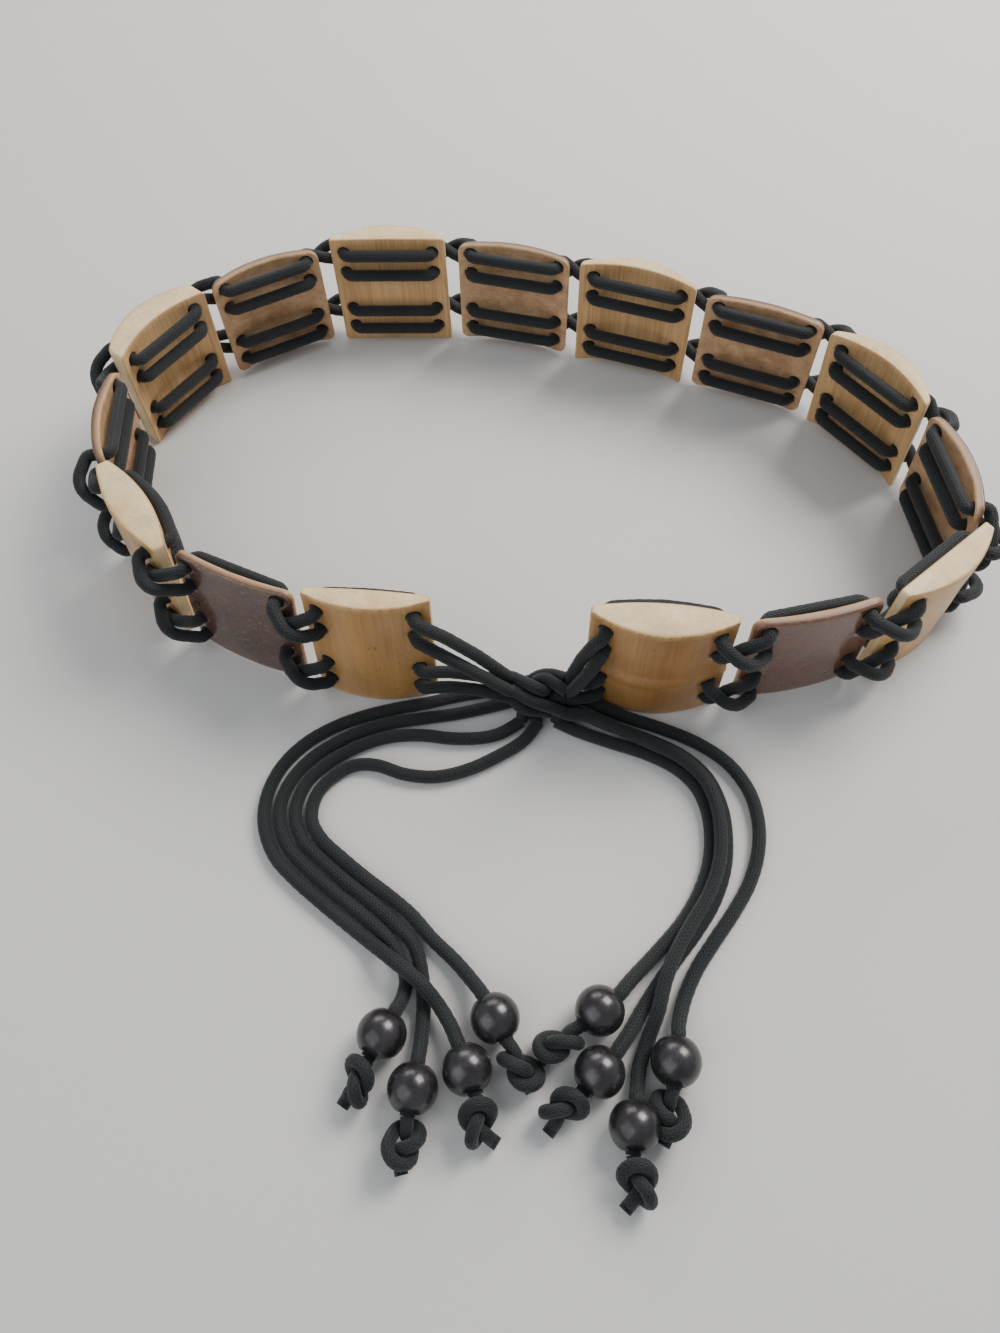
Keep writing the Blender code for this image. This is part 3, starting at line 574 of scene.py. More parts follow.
def makeBraidTree():
    tree, given, result = newGroup(
        "braidedCord", "GeometryNodeTree",
        [
            ("Geometry", "NodeSocketGeometry", None),
            ("Radius", "NodeSocketFloat", 0.0021),
            ("Sides", "NodeSocketInt", 16),
            ("Step", "NodeSocketFloat", 0.001),
            ("Relief", "NodeSocketFloat", 0.0001),
            ("Bumps", "NodeSocketFloat", 5.0),
            ("Plait", "NodeSocketFloat", 0.003),
            ("Material", "NodeSocketMaterial", None),
        ],
        [("Geometry", "NodeSocketGeometry")],
    )
    given = given.outputs
    line = addNode(
        tree, "GeometryNodeResampleCurve", {"Curve": given["Geometry"], "Length": given["Step"]},
        mode="LENGTH"
    )
    gone = addNode(tree, "GeometryNodeSplineParameter").outputs
    rail = addNode(
        tree, "GeometryNodeStoreNamedAttribute",
        {"Geometry": line.outputs[0], "Name": "along", "Value": gone["Length"]}
    )
    ring = addNode(
        tree, "GeometryNodeCurvePrimitiveCircle",
        {"Resolution": given["Sides"], "Radius": given["Radius"]}
    )
    turn = addNode(
        tree, "GeometryNodeStoreNamedAttribute",
        {"Geometry": ring.outputs["Curve"], "Name": "turn", "Value": gone["Factor"]}
    )
    tube = addNode(
        tree, "GeometryNodeCurveToMesh",
        {"Curve": rail.outputs[0], "Profile Curve": turn.outputs[0], "Fill Caps": True}
    )
    along = addNode(
        tree, "GeometryNodeInputNamedAttribute", {"Name": "along"}, data_type="FLOAT"
    ).outputs["Attribute"]
    round_ = addNode(
        tree, "GeometryNodeInputNamedAttribute", {"Name": "turn"}, data_type="FLOAT"
    ).outputs["Attribute"]
    angle = maths(tree, "MULTIPLY", round_, 2 * math.pi)
    place = addNode(
        tree, "ShaderNodeCombineXYZ",
        {0: maths(tree, "COSINE", angle), 1: maths(tree, "SINE", angle), 2: maths(tree, "MULTIPLY", along, 1000.0)}
    )
    stored = addNode(tree, "GeometryNodeStoreNamedAttribute", data_type="FLOAT_VECTOR")
    tree.links.new(tube.outputs[0], stored.inputs["Geometry"])
    stored.inputs["Name"].default_value = "braidPlace"
    tree.links.new(place.outputs[0], stored.inputs["Value"])
    wave = maths(
        tree, "COSINE",
        maths(tree, "MULTIPLY", maths(tree, "DIVIDE", along, given["Plait"]), 2 * math.pi)
    )
    wave = maths(
        tree, "MULTIPLY", wave, maths(tree, "COSINE", maths(tree, "MULTIPLY", angle, given["Bumps"]))
    )
    rise = maths(tree, "MULTIPLY", wave, given["Relief"])
    outward = addNode(tree, "GeometryNodeInputNormal").outputs[0]
    offset = addNode(tree, "ShaderNodeVectorMath", {0: outward, "Scale": rise}, operation="SCALE")
    moved = addNode(
        tree, "GeometryNodeSetPosition", {"Geometry": stored.outputs[0], "Offset": offset.outputs[0]}
    )
    soft = addNode(tree, "GeometryNodeSetShadeSmooth", {"Geometry": moved.outputs[0]})
    real = addNode(tree, "GeometryNodeRealizeInstances", {"Geometry": soft.outputs[0]})
    done = addNode(
        tree, "GeometryNodeSetMaterial", {"Geometry": real.outputs[0], "Material": given["Material"]}
    )
    tree.links.new(done.outputs[0], result.inputs[0])
    return tree


braidTree = makeBraidTree()


def setInput(modifier, name, value):
    for item in modifier.node_group.interface.items_tree:
        if item.item_type == "SOCKET" and item.in_out == "INPUT" and item.name == name:
            modifier[item.identifier] = value


def braidedPiece(name, strands, width):
    # strands are lists of points in millimetres; the result is one plain mesh at the origin
    curve = bpy.data.curves.new(name + "_line", "CURVE")
    curve.dimensions = "3D"
    for strand in strands:
        spline = curve.splines.new("POLY")
        spline.points.add(len(strand) - 1)
        for point, place in zip(spline.points, strand):
            point.co = (*(Vector(place) * mm), 1.0)
    guide = bpy.data.objects.new(name + "_line", curve)
    bpy.context.scene.collection.objects.link(guide)
    braid = guide.modifiers.new("braid", "NODES")
    braid.node_group = braidTree
    values = {
        "Radius": width / 2 * mm, "Sides": cord["sides"], "Step": cord["step"] * mm,
        "Relief": cord["relief"] * mm, "Bumps": float(cord["bumps"]), "Plait": cord["plait"] * mm,
        "Material": finishes["cord"],
    }
    for label, value in values.items():
        setInput(braid, label, value)
    evaluated = guide.evaluated_get(bpy.context.evaluated_depsgraph_get())
    mesh = bpy.data.meshes.new_from_object(evaluated)
    bpy.data.objects.remove(guide)
    mesh.name = name
    return finishedPiece(name, mesh)


def finishedPiece(name, mesh):
    obj = bpy.data.objects.new(name, mesh)
    bpy.context.scene.collection.objects.link(obj)
    return obj


def standFor(piece, node):
    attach(piece, "root")
    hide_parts(node)


def smoothThrough(points, steps=12):
    # a smooth curve through given points
    points = [Vector(point) for point in points]
    ends = [points[0] * 2 - points[1], *points, points[-1] * 2 - points[-2]]
    curve = []
    for i in range(1, len(ends) - 2):
        a, b, c, d = ends[i - 1 : i + 3]
        for step in range(steps):
            t = step / steps
            bend = b * 2 + (c - a) * t + (a * 2 - b * 5 + c * 4 - d) * t**2
            curve.append((bend + (b * 3 - a - c * 3 + d) * t**3) / 2)
    return [*curve, points[-1]]


def roundedPath(points, bends):
    # straight runs joined by arcs, each as wide as its own bend allows
    path = [points[0]]
    for i in range(1, len(points) - 1):
        corner = points[i]
        back, ahead = points[i - 1] - corner, points[i + 1] - corner
        turn = math.pi - back.angle(ahead)
        if turn < 0.02:
            path.append(corner)
            continue
        room = min(
            back.length * (1.0 if i == 1 else 0.5),
            ahead.length * (1.0 if i == len(points) - 2 else 0.5)
        ) * 0.98
        run = min(bends[i] * math.tan(turn / 2), room)
        radius = run / math.tan(turn / 2)
        back.normalize()
        ahead.normalize()
        middle = corner + (back + ahead).normalized() * radius / math.cos(turn / 2)
        arm = corner + back * run - middle
        axis = arm.cross(corner + ahead * run - middle)
        count = max(2, math.ceil(turn / 0.2))
        path += [middle + Matrix.Rotation(turn * k / count, 3, axis) @ arm for k in range(count + 1)]
    return [*path, points[-1]]


def evenly(points, count):
    # the same line as so many points at even distances
    line = np.array([tuple(p) for p in points], dtype=float)
    gone = np.concatenate([[0.0], np.cumsum(np.linalg.norm(np.diff(line, axis=0), axis=1))])
    wanted = np.linspace(0.0, gone[-1], count)
    return np.stack([np.interp(wanted, gone, line[:, k]) for k in range(3)], axis=1)


def drawTight(strands, width, rounds, pull, lowest=None, ball=None):
    # Strands with held ends shorten a little each round and push each other off when they touch.
    # They end as a knot that has been drawn tight. The ball is a bead that they stay outside.
    points = np.array(strands)
    count, length = points.shape[:2]
    strandOf = np.repeat(np.arange(count), length)
    placeOf = np.tile(np.arange(length), count)
    ends = points[:, [0, -1]].copy()
    for turn in range(rounds):
        middles = (points[:, :-2] + points[:, 2:]) / 2
        points[:, 1:-1] += pull * (middles - points[:, 1:-1])
        flat = points.reshape(-1, 3)
        step = np.linalg.norm(np.diff(points, axis=1), axis=2).mean(axis=1)
        away = flat[:, None] - flat[None]
        distance = np.linalg.norm(away, axis=2) + 1e-6
        apart = np.abs(placeOf[:, None] - placeOf[None]) * step[strandOf][:, None]
        near = (strandOf[:, None] == strandOf[None]) & (apart < 1.7 * width)
        push = np.clip(width - distance, 0.0, None)
        push[near] = 0.0
        flat = flat + 0.28 * (away / distance[..., None] * push[..., None]).sum(axis=1)
        if ball is not None:
            out = flat - ball[0]
            far = np.linalg.norm(out, axis=1, keepdims=True)
            inside = (far < ball[1] + width / 2) & (placeOf[:, None] > 3)
            flat = np.where(inside, ball[0] + out / far * (ball[1] + width / 2), flat)
        if lowest is not None:
            flat[:, 2] = np.maximum(flat[:, 2], lowest)
        points = flat.reshape(count, length, 3)
        points[:, 0], points[:, -1] = ends[:, 0], ends[:, 1]
        points = np.array([evenly(strand, length) for strand in points])
    return [[Vector(p) for p in strand] for strand in points]


def tieMiddle():
    return Vector((*tie["place"], tie["height"] / 2 + cord["floorGap"]))


def beadSeat(index):
    x, y, heading = beadSeats[index]
    angle = math.radians(heading)
    middle = Vector((tie["place"][0] + x, tie["place"][1] + y, bead["diameter"] / 2))
    return middle, Vector((math.cos(angle), math.sin(angle), 0))


def looseRoute(index):
    middle, way = beadSeat(index)
    foot = Vector((*tie["place"], 0))
    half = way * bead["diameter"] / 2
    route = [foot + Vector(point) for point in looseRoutes[index]] + [middle - half]
    line = smoothThrough(route)
    line.append(middle + half)
    lowest = cordRadius + cord["floorGap"]
    return [Vector((p.x, p.y, max(p.z, lowest))) for p in line]


def addLooseCord(index):
    route = looseRoute(index)
    piece = braidedPiece(f"looseCord{index + 1}", [route], cord["diameter"])
    standFor(piece, f"tie_cord_{index + 1}")
    return piece, route


# Beads and the knots that stop them

# Where each loose cord's bead lies from the foot of the tie, and the heading of its bore.
beadSeats = [
    (-27.4, -114.3, -71), (-50.9, -104.1, -122), (-42.3, -118.4, -102), (-19.2, -101.4, -64),
    (29.7, -115.0, -103), (10.2, -100.8, -146), (8.6, -116.8, -137), (16.7, -130.4, -100),
]
bead = {"diameter": 14.0, "bore": 5.0, "rim": 0.7, "rings": 30, "sides": 48}
endKnot = {
    "cordWidth": 3.7,
    "reach": 11.6,      # from the bead to where the cord's short end leaves the knot
    "tail": 3.4,
    # how far each knot is rolled about its cord, in degrees, and whether it is tied the other way
    "turns": [(20, 1), (205, -1), (110, 1), (300, -1), (65, -1), (250, 1), (340, 1), (160, -1)],
}


def addBead(index):
    # a round bead turned about its bore, with softly broken rims
    radius, bore, rim = bead["diameter"] / 2, bead["bore"] / 2, bead["rim"]
    reach = math.acos((bore + rim) / radius)
    profile = []
    for i in range(bead["rings"] + 1):
        angle = reach * (2 * i / bead["rings"] - 1)
        profile.append((radius * math.sin(angle), radius * math.cos(angle), 0.0))
    edge = profile[-1][0]
    for i in range(1, 5):
        angle = math.pi / 2 * i / 4
        profile.append((edge - rim * (1 - math.cos(angle)) * 0.6, bore + rim * (1 - math.sin(angle)), 1.0))
    inner = profile[-1][0]
    profile += [(inner * (1 - 2 * i / 6), bore, 0.6) for i in range(1, 6)]
    profile += [
        (-along, out, share) for along, out,
        share in reversed(profile[bead["rings"] + 1 : bead["rings"] + 5])
    ]
    middle, way = beadSeat(index)
    turn = Matrix.Translation(middle) @ way.to_track_quat("X", "Z").to_matrix().to_4x4()
    bm = bmesh.new()
    rimLayer = bm.verts.layers.float.new("rimShare")
    rings = []
    for along, out, share in profile:
        ring = []
        for i in range(bead["sides"]):
            angle = 2 * math.pi * i / bead["sides"]
            vert = bm.verts.new((turn @ Vector((along, out * math.cos(angle), out * math.sin(angle)))) * mm)
            vert[rimLayer] = share
            ring.append(vert)
        rings.append(ring)
    for low, high in zip(rings, rings[1:] + rings[:1]):
        for i in range(bead["sides"]):
            j = (i + 1) % bead["sides"]
            bm.faces.new((low[i], low[j], high[j], high[i]))
    bmesh.ops.recalc_face_normals(bm, faces=bm.faces)
    mesh = bpy.data.meshes.new(f"cordBead{index + 1}")
    bm.to_mesh(mesh)
    bm.free()
    mesh.shade_smooth()
    mesh.materials.append(finishes["bead"])
    piece = finishedPiece(mesh.name, mesh)
    standFor(piece, f"tie_bead_{index + 1}")
    return piece


def overhandLine(roll, hand):
    # an open overhand knot whose ends leave along X, before it is drawn tight
    line = []
    for i in range(81):
        t = 2.05 * (i / 40 - 1)
        x, y, z = t**3 - 3 * t, t**4 - 4 * t**2 + 1.5, (t**5 - 10 * t) * 0.55
        line.append(Vector((x * 1.9 + 5.4, y * 1.7, hand * z)))
    line = [Vector((-4, 0, 0)), *line, Vector((15, 0, 0))]
    turn = Matrix.Rotation(math.radians(roll), 3, "X")
    return [turn @ p for p in line]


def addEndKnot(index):
    roll, hand = endKnot["turns"][index]
    width = endKnot["cordWidth"]
    radius = bead["diameter"] / 2
    line = overhandLine(roll, hand)
    # the bead's rim is the knot's own origin, and the bore lies a bead's radius above the floor
    lowest = width / 2 + cord["floorGap"]
    start, end = Vector((0, 0, radius)), Vector((endKnot["reach"], 0, lowest + 1.2))
    line = [start, *(Vector((p.x, p.y, p.z + radius)) for p in line[1:-1]), end]
    drawn = drawTight(
        [evenly(line, 64)], width, 420, 0.45, lowest, (np.array([-radius, 0, radius]), radius)
    )[0]
    out = (drawn[-1] - drawn[-3]).normalized()
    drawn.append(drawn[-1] + Vector((out.x, out.y, max(out.z, -0.1) * 0.3)) * endKnot["tail"])
    drawn[-1].z = max(drawn[-1].z, lowest)
    middle, way = beadSeat(index)
    turn = Matrix.Translation(
        middle + way * radius - Vector((0, 0, radius))
    ) @ way.to_track_quat("X", "Z").to_matrix().to_4x4()
    piece = braidedPiece(f"endKnot{index + 1}", [smoothThrough([turn @ p for p in drawn], 4)], width)
    standFor(piece, f"end_knot_{index + 1}")
    return piece


for index in range(len(beadSeats)):
    loose, route = addLooseCord(index)
    onCord = [addBead(index), addEndKnot(index)]
print("loose cords, beads and end knots made:", len(beadSeats))


# Plates

plateKinds = {
    "bamboo": {
        "height": 46.0, "width": 43.0, "wall": 9.0, "bow": 5.0, "inset": 5.0, "lift": 0.0,
        "corner": 1.2, "rim": 0.45, "barrel": 0.0, "wander": 0.10,
    },
    "shell": {
        "height": 43.0, "width": 42.5, "wall": 3.4, "bow": 4.4, "inset": 4.6, "lift": 1.2,
        "corner": 3.4, "rim": 0.8, "barrel": 0.5, "wander": 0.07,
    },
}

# One row for each plate, from the left of the tie round the back to its right. Width, edge, wall
# and bow are shares of the kind's own sizes, and tone runs from dark to light within the kind.
plateColumns = ("kind", "width", "heading", "lean", "edge", "wall", "bow", "node", "tone", "red")
plates = [
    ("bamboo", 0.93, 172, 9, 0.22, 0.92, -0.16, False, 0.62, 0.10),
    ("shell", 1.00, 153, 8, 0.85, 1.00, 0.40, False, 0.30, 0.10),
    ("bamboo", 1.00, 123, 4, 0.44, 1.35, -0.80, False, 0.55, 0.00),
    ("shell", 0.96, 91, 2, 0.85, 1.00, 0.80, False, 0.35, 0.20),
    ("bamboo", 0.96, 51, 3, 0.78, 1.07, 1.00, False, 0.45, 0.10),
    ("shell", 1.00, 24, 0, 0.85, 1.00, 1.05, False, 0.40, 0.10),
    ("bamboo", 1.03, -4, -3, 0.28, 1.00, 0.10, False, 0.55, 0.00),
    ("shell", 1.03, -17, -3, 0.85, 1.00, 0.90, False, 0.55, 0.10),
    ("bamboo", 1.03, -22, 0, 0.28, 0.58, 1.00, False, 0.60, 0.05),
    ("shell", 1.02, -25, 0, 0.85, 1.00, 0.55, False, 0.50, 0.10),
    ("bamboo", 1.00, -55, 5, 0.29, 0.67, 1.00, False, 0.55, 0.10),
    ("shell", 1.00, -85, 4, 0.85, 1.00, 0.95, False, 0.45, 0.10),
    ("bamboo", 0.94, -144, 0, 0.33, 1.00, 0.00, False, 0.95, 0.00),
    ("shell", 0.96, -171, 2, 0.85, 1.00, 0.35, False, 0.70, 0.90),
    ("bamboo", 1.03, -188, 3, 0.28, 1.39, -0.52, True, 0.35, 0.35),
]
plateGap = 4.4
bulgeMargin = 1.25  # a cord bends round a bulging inner face this much further out
underShare = 0.17   # of a crossing's depth, that its inner cord gives way by

plateMesh = {
    "edgeStep": 1.45,
    "gridStep": 2.3,
    "holeSides": 20,
    "holeClearance": 0.25,
    "holeRim": 0.4,
    "rimSteps": 3,
    "wallSteps": 2,
}

caneJoint = {"height": 19.8, "rise": 1.15, "width": 1.5, "grooveHeight": 21.5, "groove": 0.65}


def plateRow(index):
    row = dict(zip(plateColumns, plates[index]))
    kind = plateKinds[row["kind"]]
    row.update({
        **{name: value for name, value in kind.items() if name not in ("width", "wall", "bow")},
        "width": row["width"] * kind["width"], "edge": row["edge"] * kind["wall"],
        "wall": row["wall"] * kind["wall"], "bow": row["bow"] * kind["bow"], "index": index,
    })
    return row


def arcShare(row, x):
    return 1 - (2 * x / row["width"] - 1) ** 2


def innerDepth(row, x):
    return row["bow"] * arcShare(row, x)


def outerDepth(row, x):
    return row["edge"] + (row["bow"] + row["wall"] - row["edge"]) * arcShare(row, x)


def platePose(row, start):
    heading, lean = math.radians(row["heading"]), math.radians(row["lean"])
    deepest = max(0.0, *(-y * math.sin(lean) for y in (row["bow"], row["bow"] + row["wall"])))
    place = Vector((start.x, start.y, row["lift"] + deepest))
    return Matrix.Translation(place) @ Matrix.Rotation(heading, 4, "Z") @ Matrix.Rotation(lean, 4, "X")


def layOutPlates():
    rows = [plateRow(i) for i in range(len(plates))]
    ends = []
    point = Vector((0, 0))
    before = rows[0]["heading"]
    for row in rows:
        if ends:
            turn = math.radians((before + row["heading"]) / 2)
            point = point + plateGap * Vector((math.cos(turn), math.sin(turn)))
        heading = math.radians(row["heading"])
        end = point + row["width"] * Vector((math.cos(heading), math.sin(heading)))
        ends.append((point, end))
        point = end
        before = row["heading"]
    place = ends[-1][1].lerp(ends[0][0], tie["share"]) - Vector((0, tie["forward"]))
    shift = Vector(tie["place"]) - place
    for row, (start, _) in zip(rows, ends):
        row["pose"] = platePose(row, start + shift)
    return rows


def rowHeights(row):
    return [height - row["lift"] for height in cord["rows"]]


def outlineOf(row):
    # foot points of the plate's rounded outline, each with the way out of the material
    width, height, corner = row["width"], row["height"], row["corner"]
    loop = []
    middles = [
        (width - corner, corner, -90), (width - corner, height - corner, 0),
        (corner, height - corner, 90), (corner, corner, 180)
    ]
    for i, (x, z, first) in enumerate(middles):
        for k in range(6):
            angle = math.radians(first + 90 * k / 5)
            way = Vector((math.cos(angle), math.sin(angle)))
            loop.append((Vector((x, z)) + way * corner, way))
        angle = math.radians(first + 90)
        way = Vector((math.cos(angle), math.sin(angle)))
        start = Vector((x, z)) + way * corner
        nextX, nextZ, _ = middles[(i + 1) % 4]
        end = Vector((nextX, nextZ)) + way * corner
        count = round((end - start).length / plateMesh["edgeStep"])
        loop += [(start.lerp(end, k / count), way) for k in range(1, count)]
    return loop


def holeLoop(middle, radius):
    sides = plateMesh["holeSides"]
    loop = []
    for k in range(sides):
        angle = 2 * math.pi * k / sides
        way = Vector((math.cos(angle), math.sin(angle)))
        loop.append((middle + way * radius, -way))
    return loop


def smoothBump(value, middle, width):
    return math.exp(-((value - middle) / width) ** 2)


def surfaceShift(row, x, z):
    # a cane joint's ring, a shell's barrel shape, and the slow unevenness of a hand-made face
    kind = row["kind"]
    seed = row["index"] * 1.7
    wander = row["wander"] * (
        math.sin(x * 0.21 + seed) * math.sin(z * 0.17 + 2 * seed) + 0.5 * math.sin(x * 0.43 - z * 0.29 + seed)
    )
    shift = wander - row["barrel"] * abs(2 * z / row["height"] - 1) ** 4
    if kind == "bamboo" and row["node"]:
        joint = caneJoint
        level = z + 0.9 * math.sin(x / row["width"] * math.pi)
        shift += joint["rise"] * smoothBump(level, joint["height"], joint["width"])
        shift -= joint["groove"] * smoothBump(level, joint["grooveHeight"] + 0.6, 0.75)
    return shift


def addPlate(name, row):
    holeRadius = cordRadius + plateMesh["holeClearance"]
    rim, holeRim = row["rim"], plateMesh["holeRim"]
    holes = [Vector((x, z)) for x in (row["inset"], row["width"] - row["inset"]) for z in rowHeights(row)]
    loops = [(outlineOf(row), rim)] + [(holeLoop(middle, holeRadius), holeRim) for middle in holes]
    flat, edges, onLoop = [], [], []
    for loop, inset in loops:
        first = len(flat)
        flat += [foot - way * inset for foot, way in loop]
        edges += [(first + k, first + (k + 1) % len(loop)) for k in range(len(loop))]
        onLoop.append(range(first, first + len(loop)))
    step = plateMesh["gridStep"]
    columns, levels = round(row["width"] / step), round(row["height"] / step)
    for i in range(1, columns):
        for k in range(1, levels):
            spot = Vector((row["width"] * i / columns, row["height"] * k / levels))
            side = min(spot.x, row["width"] - spot.x, spot.y, row["height"] - spot.y)
            if side > rim + 0.7 and min(
                (spot - middle).length for middle in holes
            ) > holeRadius + holeRim + 0.7:
                flat.append(spot)
    places, _, faces, origins, _, _ = delaunay_2d_cdt(flat, edges, [], 1, 1e-5)
    newIndex = {}
    for i, sources in enumerate(origins):
        for source in sources:
            newIndex[source] = i
    kept = []
    for face in faces:
        middle = sum((places[i] for i in face), Vector((0, 0))) / len(face)
        if min((middle - hole).length for hole in holes) > holeRadius + holeRim * 0.9:
            kept.append(face)

    bm = bmesh.new()
    vertLayers = bm.verts.layers
    placeLayer = vertLayers.float_vector.new("platePlace")
    numbers = {
        name: vertLayers.float.new(name) for name in ("rimShare", "depthShare", "plateTone", "plateRed")
    }
    shiftPlace = Vector((row["index"] * 61.0, row["index"] * 23.0, row["index"] * 97.0))

    def addVert(x, y, z, rimShare, depthShare):
        vert = bm.verts.new((row["pose"] @ Vector((x, y, z))) * mm)
        vert[placeLayer] = Vector((x, y, z)) + shiftPlace
        vert[numbers["rimShare"]] = rimShare
        vert[numbers["depthShare"]] = depthShare
        vert[numbers["plateTone"]] = row["tone"]
        vert[numbers["plateRed"]] = row["red"]
        return vert

    def outerAt(x, z):
        return outerDepth(row, x) + surfaceShift(row, x, z)

    def innerAt(x, z):
        drop = -row["barrel"] * abs(2 * z / row["height"] - 1) ** 4
        return innerDepth(row, x) + drop

    def nearRim(x, z):
        side = min(x, row["width"] - x, z, row["height"] - z)
        return max(0.0, 0.6 - (side - rim) / 1.6)

    outer = [addVert(p.x, outerAt(p.x, p.y), p.y, nearRim(p.x, p.y), 0.0) for p in places]
    inner = [addVert(p.x, innerAt(p.x, p.y), p.y, nearRim(p.x, p.y), 1.0) for p in places]
    for face in kept:
        bm.faces.new([outer[i] for i in face]).material_index = 0
        bm.faces.new([inner[i] for i in reversed(face)]).material_index = 1
    for (loop, inset), members in zip(loops, onLoop):
        rings = [[outer[newIndex[i]] for i in members]]
        slots = []
        steps, wallSteps = plateMesh["rimSteps"], plateMesh["wallSteps"]
        cuts = []
        for k in range(1, steps + 1):
            angle = math.pi / 2 * k / steps
            cuts.append((inset * (1 - math.sin(angle)), inset * (1 - math.cos(angle)), 0.0, 1.0))
        for k in range(1, wallSteps):
            cuts.append((0.0, 0.0, k / wallSteps, 0.5))
        for k in range(steps, 0, -1):
            angle = math.pi / 2 * k / steps
            cuts.append((inset * (1 - math.sin(angle)), inset * (1 - math.cos(angle)), 1.0, 1.0))
        for pull, drop, share, rimShare in cuts:
            ring = []
            for foot, way in loop:
                p = foot - way * pull
                high, low = outerAt(p.x, p.y), innerAt(p.x, p.y)
                if share == 0.0:
                    y = high - drop
                elif share == 1.0:
                    y = low + drop
                else:
                    y = (high - inset) * (1 - share) + (low + inset) * share
                ring.append(addVert(p.x, y, p.y, rimShare, (high - y) / (high - low)))
            rings.append(ring)
        rings.append([inner[newIndex[i]] for i in members])
        slots = [0] * steps + [2] * wallSteps + [1] * steps
        if row["kind"] == "bamboo":
            slots[steps - 1] = 2
        for slotIndex, upper, lower in zip(slots, rings, rings[1:]):
            for i in range(len(upper)):
                j = (i + 1) % len(upper)
                bm.faces.new((upper[i], upper[j], lower[j], lower[i])).material_index = slotIndex
    bmesh.ops.recalc_face_normals(bm, faces=bm.faces)
    mesh = bpy.data.meshes.new(name)
    bm.to_mesh(mesh)
    bm.free()
    mesh.shade_smooth()
    for material in finishes[row["kind"]]:
        mesh.materials.append(material)
    return finishedPiece(name, mesh)


rows = layOutPlates()
made = {"bamboo": 0, "shell": 0}
for row in rows:
    kind = row["kind"]
    made[kind] += 1
    piece = addPlate(f"{kind}Plate{made[kind]}", row)
    standFor(piece, f"{kind}_plate_{made[kind]}")
print("plates made:", made)


# Lacing

# Where the lacing cords meet the tie, lowest row first: forward and up from the tie's middle, and
# how far the cord arches forward and up from a straight line on its way there.
leftSeats = [(2.6, 0.8, 0.0, 4.0), (-2.4, 0.8, 0.0, 4.0), (2.6, 5.6, 1.0, 2.0), (-2.4, 5.6, 0.0, 3.0)]
rightSeats = [(3.8, 0.8, 0.5, 0.0), (-1.2, 0.8, 0.0, -1.0), (3.8, 5.6, 2.0, 3.0), (-1.2, 5.6, 0.0, 5.0)]


def mouth(row, x, cordRow, surface, side):
    y = surface(row, x) + side * (cordRadius + cord["gap"])
    return row["pose"] @ Vector((x, y, rowHeights(row)[cordRow]))


def innerRun(row, cordRow):
    first, last = row["inset"], row["width"] - row["inset"]
    bend = cord["mouthBend"]
    points = [
        (mouth(row, first, cordRow, outerDepth, 1), bend),
        (mouth(row, first, cordRow, innerDepth, -1), bend)
    ]
    if row["bow"] < 0:
        y = row["bow"] * bulgeMargin - cordRadius - cord["gap"]
        points.append((row["pose"] @ Vector((row["width"] / 2, y, rowHeights(row)[cordRow])), 60.0))
    points += [
        (mouth(row, last, cordRow, innerDepth, -1), bend),
        (mouth(row, last, cordRow, outerDepth, 1), bend)
    ]
    return points


def pastEdge(row, x, mouthPoint, start, end):
    height = (row["pose"].inverted() @ mouthPoint).z
    edge = row["pose"] @ Vector((x, row["edge"], height))
    way = (end - start).xy.normalized()
    return -way.cross((edge - start).xy)


def crossing(row, after, start, end, over):
    clear = cord["diameter"] + 4 * cord["gap"]
    lift = cord["rowSpacing"] * clear / math.sqrt(cord["rowSpacing"] ** 2 - clear**2)
    outward = row["pose"].col[1].xyz + after["pose"].col[1].xyz
    outward.z = 0
    outward.normalize()
    middle = (start + end) / 2 - outward * lift * underShare
    needed = cordRadius + cord["gap"]
    while pastEdge(
        row, row["width"], start, start, middle
    ) < needed or pastEdge(after, 0.0, end, middle, end) < needed:
        middle = middle + outward * cord["gap"]
    return middle + outward * lift if over else middle


def frontSpan(start, seat, side):
    forward, height, archForward, archUp = seat
    end = tieMiddle() + Vector((side * (tie["length"] / 2 + cord["gap"]), -forward, height))
    turn = end + Vector((side * cord["seatRun"], 0, 0))
    points = []
    for i in range(1, 4):
        share = i / 3
        arch = Vector((0, -archForward, archUp)) * 4 * share * (1 - share)
        points.append((start.lerp(turn, share) + arch, cord["spanBend"]))
    return [*points, (end, 0.0)]


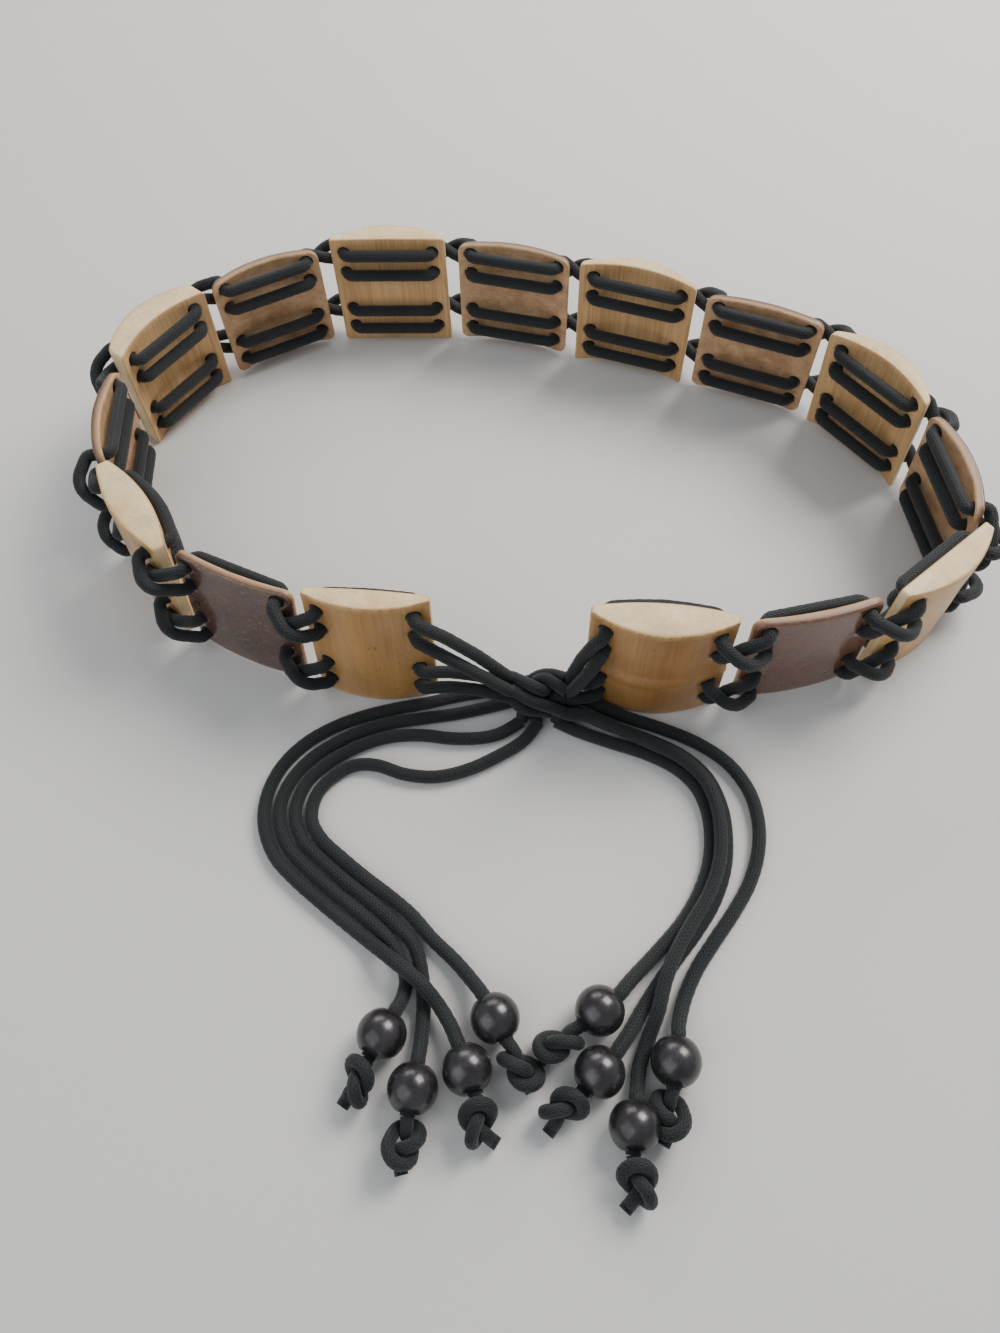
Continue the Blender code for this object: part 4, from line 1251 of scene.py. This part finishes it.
def lacingLine(cordIndex):
    cordRow = cordIndex
    points = []
    for index, row in enumerate(rows):
        run = innerRun(row, cordRow)
        if index:
            middle = crossing(rows[index - 1], row, points[-1][0], run[0][0], cordRow % 2 == 1)
            points.append((middle, cord["crossBend"]))
        points += run
        lastRow = cordRow
        cordRow ^= 1
    lead = frontSpan(points[0][0], leftSeats[cordIndex], -1)
    tail = frontSpan(points[-1][0], rightSeats[lastRow], 1)
    points = lead[::-1] + points + tail
    return roundedPath([p for p, _ in points], [bend for _, bend in points])


for index in range(len(cord["rows"])):
    piece = braidedPiece(f"lacingCord{index + 1}", [lacingLine(index)], cord["diameter"])
    standFor(piece, f"lacing_cord_{index + 1}")
print("lacing cords made")


# The tie in front

def tieStrands():
    # Two bundles twisted about each other, from the lacing on one side to the loose ends on the other.
    middle = tieMiddle()
    reach = tie["length"] / 2 + cord["gap"]
    strands = []
    exitsRight = [6, 4, 7, 5]
    exitsLeft = [1, 0, 2, 3]
    for side, seats, exits in ((-1, leftSeats, exitsRight), (1, rightSeats, exitsLeft)):
        for seat, exitIndex in zip(seats, exits):
            start = middle + Vector((side * reach, -seat[0], seat[1]))
            foot = Vector((*tie["place"], 0))
            first, second = (foot + Vector(p) for p in looseRoutes[exitIndex][:2])
            line = [start]
            spreadOut = Vector((0, -seat[0] * 0.5, (seat[1] - 3.2) * 0.5))
            for i in range(1, 12):
                share = i / 12
                angle = math.pi * share * (1 if side < 0 else 1)
                # over the top and down the front on one bundle, down the back on the other
                front = -math.sin(angle) * (5.2 if side < 0 else -5.2)
                x = middle.x + side * reach * (1 - 2 * share)
                up = math.cos(angle) * 4.2
                line.append(Vector((x, middle.y + front, middle.z + up)) + spreadOut)
            line.append(first)
            strands.append((line, first, second))
    return strands


def addTieKnot():
    lines = [evenly(smoothThrough(line, 6), 26) for line, _, _ in tieStrands()]
    drawn = drawTight(lines, tie["cordWidth"], 160, 0.25, cordRadius + cord["floorGap"])
    piece = braidedPiece("tieKnot", [smoothThrough(line, 4) for line in drawn], tie["cordWidth"])
    standFor(piece, "tie_knot")


addTieKnot()
print("tie made")
